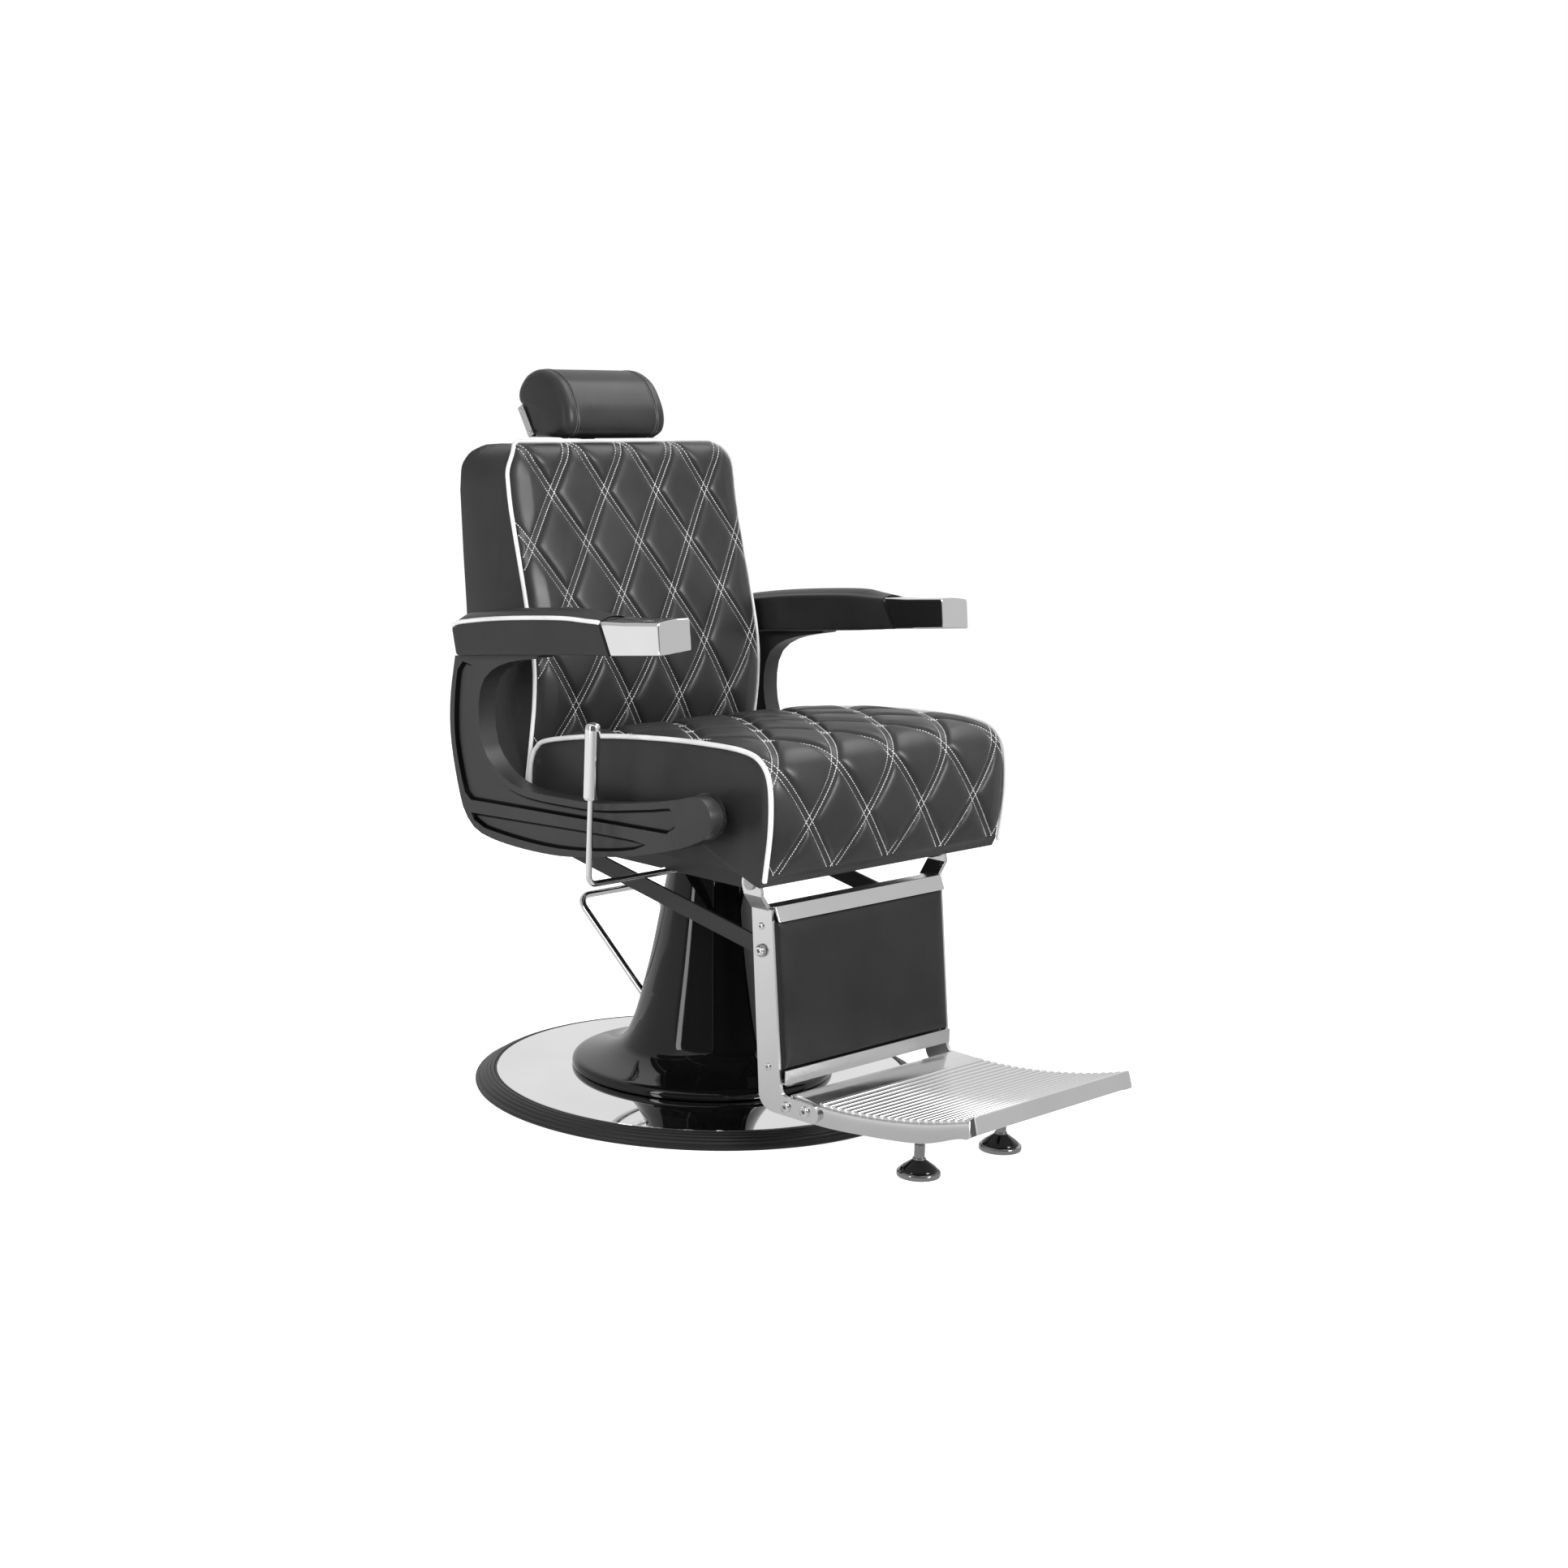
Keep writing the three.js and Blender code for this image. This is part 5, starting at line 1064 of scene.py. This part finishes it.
def legrest():
    calf_pad()
    footplate()
    dress("calf_board", FRAME_BLACK, 0.6)
    dress("calf_trim_top", ALUMINIUM, 0.5)
    dress("calf_trim_bottom", ALUMINIUM, 0.5)
    for side, sign in SIDES:
        dress("strut_" + side, ALUMINIUM_STRUT, 0.9)
        dress("link_front_pin_" + side, STEEL, 0.8)
        foot(side, sign)
        for i, (y, z, radius, height, out) in enumerate(STRUT_BOLTS):
            bolt(f"strut_bolt_{side}_{i}", (sign * out, y, z), sign, radius, height, "legrest")


# ---------------------------------------------------------------- arms
PAD_IN, PAD_OUT = 272, 334
PAD_REAR = (215, 664.8)
PAD_TILT = math.atan(0.1171)
PAD_LEAN = 0.066
PAD_STATIONS = [  # distance from the rear, height and shear of a pad's sections
    (6, 48, 0.15), (24, 53, 0.1), (110, 57, 0), (230, 56, 0), (300, 51, 0.2), (335.7, 48.6, 0.38),
]
CAP_STATIONS = [  # the same of a cap's, with their inset
    (336.2, 48.6, 0.38, 0.5), (336.7, 48.6, 0.38, 0), (345, 48.2, 0.3, 0), (366, 46.5, 0.1, 0),
    (431.5, 45.5, 0, 0), (432.6, 45.5, 0, 0.4), (433, 45.5, 0, 1.2),
]
RECESS_FLOOR = (315, 317)
RECESS_WALLS = (316.1, 321.7)
KNUCKLE_Z = 497.5
KNUCKLE_STATIONS = [  # x, y of the middle, and radius
    (297, -279, 32.4), (294, -278.9, 32.2), (291.5, -278.7, 31.9), (290, -278.5, 31.4),
    (288, -278, 30.3), (286, -277.2, 28.8), (284, -276.2, 26.8), (282.2, -275.1, 24.5),
    (280.6, -274.1, 21.6), (279.1, -273.1, 18.4), (278, -271.8, 15.2), (277.2, -270.7, 12.8),
    (275, -270.5, 12.4), (261, -270.5, 12.4),
]
ARM_FRONT = [
    (-250, 449), (-279, 460.5), (-298, 470.5), (-308.5, 487), (-311, 502), (-305, 514.5),
    (-291.5, 524.5), (-273, 525.5), (-247, 518),
]


def pad_point(x, t, h):
    """A point of an arm pad; its top leans outwards, and the whole of its front end does."""
    x = np.asarray(x, float)
    held = np.maximum(np.clip(np.asarray(h, float) / 25, 0, 1), np.clip((t - 260) / 76, 0, 1))
    h = h - PAD_LEAN * (x - (PAD_IN + PAD_OUT) / 2) * held
    y = PAD_REAR[0] - t * math.cos(PAD_TILT) + h * math.sin(PAD_TILT)
    z = PAD_REAR[1] + t * math.sin(PAD_TILT) + h * math.cos(PAD_TILT)
    return np.stack(np.broadcast_arrays(x, y, z), -1)


def corner(x, z, radius, turns):
    return [(x + radius * math.cos(t), z + radius * math.sin(t)) for t in turns]


def pad_section(t, height, crown, inset, shear, low=5.0, top=7.0):
    """One closed section of a pad: round lower and upper corners, and a crowned top."""
    x0, x1 = PAD_IN + inset, PAD_OUT - inset
    quarter = math.pi / 2
    side = np.linspace(inset + low, height - inset - top, 8)
    points = corner(x0 + low, side[0], low, np.linspace(2 * quarter, 3 * quarter, 6))
    points += corner(x1 - low, side[0], low, np.linspace(3 * quarter, 4 * quarter, 6))
    points += [(x1, z) for z in side[1:]]
    points += corner(x1 - top, side[-1], top, np.linspace(0, quarter, 7)[1:])
    for share in np.linspace(1, -1, 15)[1:-1]:
        x = (x0 + x1) / 2 + ((x1 - x0) / 2 - top) * share
        points.append((x, height - inset + crown * (1 - share**2)))
    points += corner(x0 + top, side[-1], top, np.linspace(quarter, 2 * quarter, 7)[:-1])
    points += [(x0, z) for z in side[:0:-1]]
    x, h = np.array(points).T
    return pad_point(x, t - shear * h, h)


def arm_pad(side, sign):
    """A pad with rounded ends, and white piping along its outer top edge."""
    stations = curve_through(PAD_STATIONS, 60)
    stations[-1, 0] -= 5
    rings = []
    rear, height, shear = stations[0]
    for turn in np.linspace(0, math.pi / 2, 8)[:-1]:
        t = rear - 9 * 0.66 * math.cos(turn)
        rings.append(pad_section(t, height, 10, 9 * (1 - math.sin(turn)), shear))
    for t, height, shear in stations:
        crown = 10 - 5.5 * float(np.clip((t - 270) / 60, 0, 1))
        rings.append(pad_section(t, height, crown, 0, shear))
    front, height, shear = stations[-1]
    for turn in np.linspace(0, math.pi / 2, 7)[1:]:
        t = front - 5 + 5 * math.sin(turn)
        rings.append(pad_section(t, height, 4.5, 5 * (1 - math.cos(turn)), shear))
    points, faces = loft_mesh(rings)
    replaced = ["arm_pad_" + side]
    made = piece(
        "arm_upholstery_" + side, sided(points, sign), faces, BLACK_VINYL, "seat",
        replaced, smooth_angle=50,
    )
    path = [pad_point(PAD_OUT - 1.2, t - shear * (h - 1.2), h - 1.2) for t, h, shear in stations]
    piping("arm_piping_" + side, sided(path, sign), "seat", 3.2)


def arm_cap(side, sign):
    """A chrome cap whose face towards the sitter is coloured near black, a painted reflection of the dark
    chair beside it.
    """
    rings = [pad_section(t, h, 1.5, inset, shear, 3.0, 3.6) for t, h, shear, inset in CAP_STATIONS]
    points, faces = loft_mesh(rings)
    replaced = ["arm_cap_" + side]
    shell = piece(
        "arm_cap_shell_" + side, sided(points, sign), faces, CHROME, "seat", replaced,
        smooth_angle=16,
    )
    shell.data.materials.append(CAP_PAINTED_REFLECTION)
    # faces turned towards the sitter take the painted dark reflection
    for face in shell.data.polygons:
        if face.normal.x * sign < -0.9:
            face.material_index = 1


def on_recess_floor(face):
    x = abs(face.calc_center_median().x) / MM
    return abs(face.normal.x) > 0.99 and RECESS_FLOOR[0] < x < RECESS_FLOOR[1]


def shade_recess(casting):
    """Painted shade in an arm's recess: its walls and a narrow band of its floor beside them get a
    near-black colour for the shade there.
    """
    casting.data.materials.append(RECESS_PAINTED_SHADE)
    with edited(casting.data) as work:
        bottom = [face for face in work.faces if on_recess_floor(face)]
        size = {"thickness": 1.3 * MM, "use_even_offset": True}
        # an inset band of the floor next to the walls, coloured as a painted shadow
        band = bmesh.ops.inset_region(work, faces=bottom, **size)
        for face in band["faces"]:
            face.material_index = 1
    # the sloping walls, darkened as painted shade
    for face in casting.data.polygons:
        x = abs(face.center.x) / MM
        if RECESS_WALLS[0] < x < RECESS_WALLS[1] and 0.2 < abs(face.normal.x) < 0.985:
            face.material_index = 1


def arm_knuckle(side, sign):
    """The round front end of an arm, closing in to the boss at the seat's side."""
    turns = full_turn(96)
    rings = []
    for x, y, radius in curve_through(KNUCKLE_STATIONS, 60):
        section = [y + radius * np.cos(turns), KNUCKLE_Z + radius * np.sin(turns)]
        rings.append(at_x(x, np.column_stack(section)))
    points, faces = loft_mesh(rings)
    name = "arm_knuckle_" + side
    piece(name, sided(points, sign), faces, KNUCKLE, "seat", smooth_angle=50)


def arm_front(side, sign):
    """The smooth round edge of an arm's front end."""
    edge = curve_through(ARM_FRONT, 90)
    away = unit(edge - np.array([-275.0, 492.0]))
    points, faces = prism_x(edge + away * 0.25, 296, 322.15, 1.2, 4)
    name = "arm_front_" + side
    piece(name, sided(points, sign), faces, CASTING, "seat", smooth_angle=50)


def arms():
    for side, sign in SIDES:
        arm_knuckle(side, sign)
        arm_front(side, sign)
        arm_pad(side, sign)
        arm_cap(side, sign)
        shade_recess(dress("arm_casting_" + side, CASTING, 0.45))


# ---------------------------------------------------------------- hand lever
LEVER_X, LEVER_Y, LEVER_Z = -344, -97, 375


def hand_lever():
    corners = [(LEVER_X, LEVER_Y, 602), (LEVER_X, LEVER_Y, LEVER_Z), (-66, LEVER_Y, LEVER_Z)]
    rod = tube_mesh(bent_path(corners, 14), 4.5, 24)
    socket = sleeve_x([(8.2, -150), (9, -149), (9, -99), (8.2, -98)], 4.4, (LEVER_Y, LEVER_Z))
    points, faces = joined([rod, socket])
    piece("lever_rod", points, faces, CHROME, "lever", ["hand_lever"], smooth_angle=40)
    grip = [(0, 497), (9, 497), (11, 500), (11, 598), (9.6, 606), (0, 608)]
    grip = rounded(grip, [0, 1, 2, 5, 5, 0])
    lathe("grip", grip, CHROME, "lever", ["lever_grip"], (LEVER_X, LEVER_Y), 96)


base()
seat_frame()
seat()
back()
headrest()
legrest()
arms()
hand_lever()


# ---------------------------------------------------------------- floor, light and camera
AZIMUTH, ELEVATION, ROLL = (math.radians(v) for v in (-47.458, 9.969, 2.31))
EYE = (-2.853721, -2.76712, 1.173461)
FOCAL_LENGTH = 60.71
FLOOR_HALF = 14.0
LIT_SIDE = (0.72, 0.66, 0.2)
ROOM_SIDES = [  # directions that are darker in reflections, how dark, and from where to where
    ((-0.73, -0.68, 0.0), 0.14, (0.62, 0.72)),
    ((-0.73, 0.68, 0.1), 0.62, (0.45, 0.7)),
    ((0.71, -0.65, 0.26), 0.72, (0.72, 0.9)),
]


def camera():
    flat = math.cos(ELEVATION)
    back_axis = Vector((math.sin(AZIMUTH) * flat, -math.cos(AZIMUTH) * flat, math.sin(ELEVATION)))
    level = Vector((math.cos(AZIMUTH), math.sin(AZIMUTH), 0))
    upward = back_axis.cross(level)
    right = level * math.cos(ROLL) + upward * math.sin(ROLL)
    top = upward * math.cos(ROLL) - level * math.sin(ROLL)
    lens = bpy.data.cameras.new("camera")
    lens.sensor_width = 36
    lens.lens = FOCAL_LENGTH
    lens.clip_end = 50
    eye = placed("camera", lens)
    turn = Matrix((right, top, back_axis)).transposed().to_4x4()
    eye.matrix_world = Matrix.Translation(EYE) @ turn
    bpy.context.scene.camera = eye


def mixed(tree, share, first, second):
    return add_node(tree, "MixShader", {0: share, 1: first, 2: second}).outputs[0]


def vector_math(tree, operation, first, second):
    made = add_node(tree, "VectorMath", {0: first, 1: second})
    made.operation = operation
    return made


def towards(tree, place, direction):
    """How far a place lies in a direction."""
    return vector_math(tree, "DOT_PRODUCT", place, direction).outputs["Value"]


def floor_glow(tree):
    """How light the floor is in reflections: bright on the left and behind, greyer in front."""
    place = add_node(tree, "TexCoord").outputs["Object"]
    along = ranged(tree, towards(tree, place, (0.737, -0.676, 0)), 0, 1, -2.0, 5.0)
    ramp = add_node(tree, "ValToRGB", {"Fac": along})
    stops = ramp.color_ramp.elements
    stops[0].position, stops[0].color = 0.0, grey(0.9)
    stops[1].position, stops[1].color = 0.9, grey(0.6)
    stops.new(0.42).color = grey(0.42)
    return ramp.outputs["Color"]


def floor():
    """A pale floor: white to the camera apart from the shadow, light grey in reflections."""
    mesh = bpy.data.meshes.new("floor")
    corners = [(x * FLOOR_HALF, y * FLOOR_HALF, 0) for x, y in ((-1, -1), (1, -1), (1, 1), (-1, 1))]
    mesh.from_pydata(corners, [], [(0, 1, 2, 3)])
    ground = placed("floor", mesh)
    material = bpy.data.materials.new("floor")
    material.use_nodes = True
    tree = material.node_tree
    tree.nodes.clear()
    matt = add_node(tree, "BsdfDiffuse", {"Color": grey(0.8)}).outputs[0]
    faint = add_node(tree, "Emission", {"Strength": 0.86}).outputs[0]
    lit = add_node(tree, "AddShader", {0: matt, 1: faint}).outputs[0]
    glow = add_node(tree, "Emission", {"Color": floor_glow(tree)}).outputs[0]
    rays = add_node(tree, "LightPath").outputs
    seen = mixed(tree, rays["Is Camera Ray"], matt, lit)
    whole = mixed(tree, rays["Is Glossy Ray"], seen, glow)
    add_node(tree, "OutputMaterial", {"Surface": whole})
    mesh.materials.append(material)


def softbox(name, place, target, size, power, mirrored=True):
    lamp = bpy.data.lights.new(name, "AREA")
    lamp.shape = "RECTANGLE"
    lamp.size, lamp.size_y = size
    lamp.energy = power
    made = placed(name, lamp)
    direction = Vector(target) - Vector(place)
    made.rotation_euler = direction.to_track_quat("-Z", "Y").to_euler()
    made.location = place
    made.visible_camera = False
    made.visible_glossy = mirrored


def background(tree, color, strength):
    return add_node(tree, "Background", {"Color": color, "Strength": strength}).outputs[0]


def reflected_level(tree, place):
    """The studio's tone in reflections, darker towards some of its sides."""
    level = grey(1.0)[:3]
    for direction, dark, at in ROOM_SIDES:
        tone = two_tone(tree, towards(tree, place, direction), 1.0, dark, at)
        level = vector_math(tree, "MULTIPLY", level, tone).outputs["Vector"]
    return level


def world():
    """A white studio whose side behind the camera is dark, as reflections show it."""
    sky = bpy.data.worlds.new("studio")
    bpy.context.scene.world = sky
    sky.use_nodes = True
    tree = sky.node_tree
    tree.nodes.clear()
    place = add_node(tree, "TexCoord").outputs["Generated"]
    rays = add_node(tree, "LightPath").outputs
    soft = two_tone(tree, towards(tree, place, LIT_SIDE), 0.35, 1.0, (0.0, 0.75))
    room = background(tree, soft, 0.34)
    reflected = background(tree, reflected_level(tree, place), 0.82)
    white = background(tree, grey(1.0), 1.0)
    lit = mixed(tree, rays["Is Glossy Ray"], room, reflected)
    whole = mixed(tree, rays["Is Camera Ray"], lit, white)
    add_node(tree, "OutputWorld", {"Surface": whole})


def lights():
    softbox("key", (-2.8, -1.0, 2.4), (0, 0, 0.6), (1.4, 1.4), 66, mirrored=False)
    softbox("front", (0.5, -3.0, 1.9), (0, -0.1, 0.7), (0.9, 1.1), 74)
    softbox("top", (1.7, -0.5, 2.9), (0, -0.2, 0.6), (1.9, 1.5), 28)
    softbox("rear", (1.8, 2.4, 1.8), (0, 0, 0.6), (1.2, 2.0), 20, mirrored=False)
    softbox("strip", (-3.0, -0.25, 1.2), (0, 0, 0.8), (0.4, 2.0), 12)


camera()
floor()
world()
lights()
view = bpy.context.scene.view_settings
view.view_transform = "Standard"
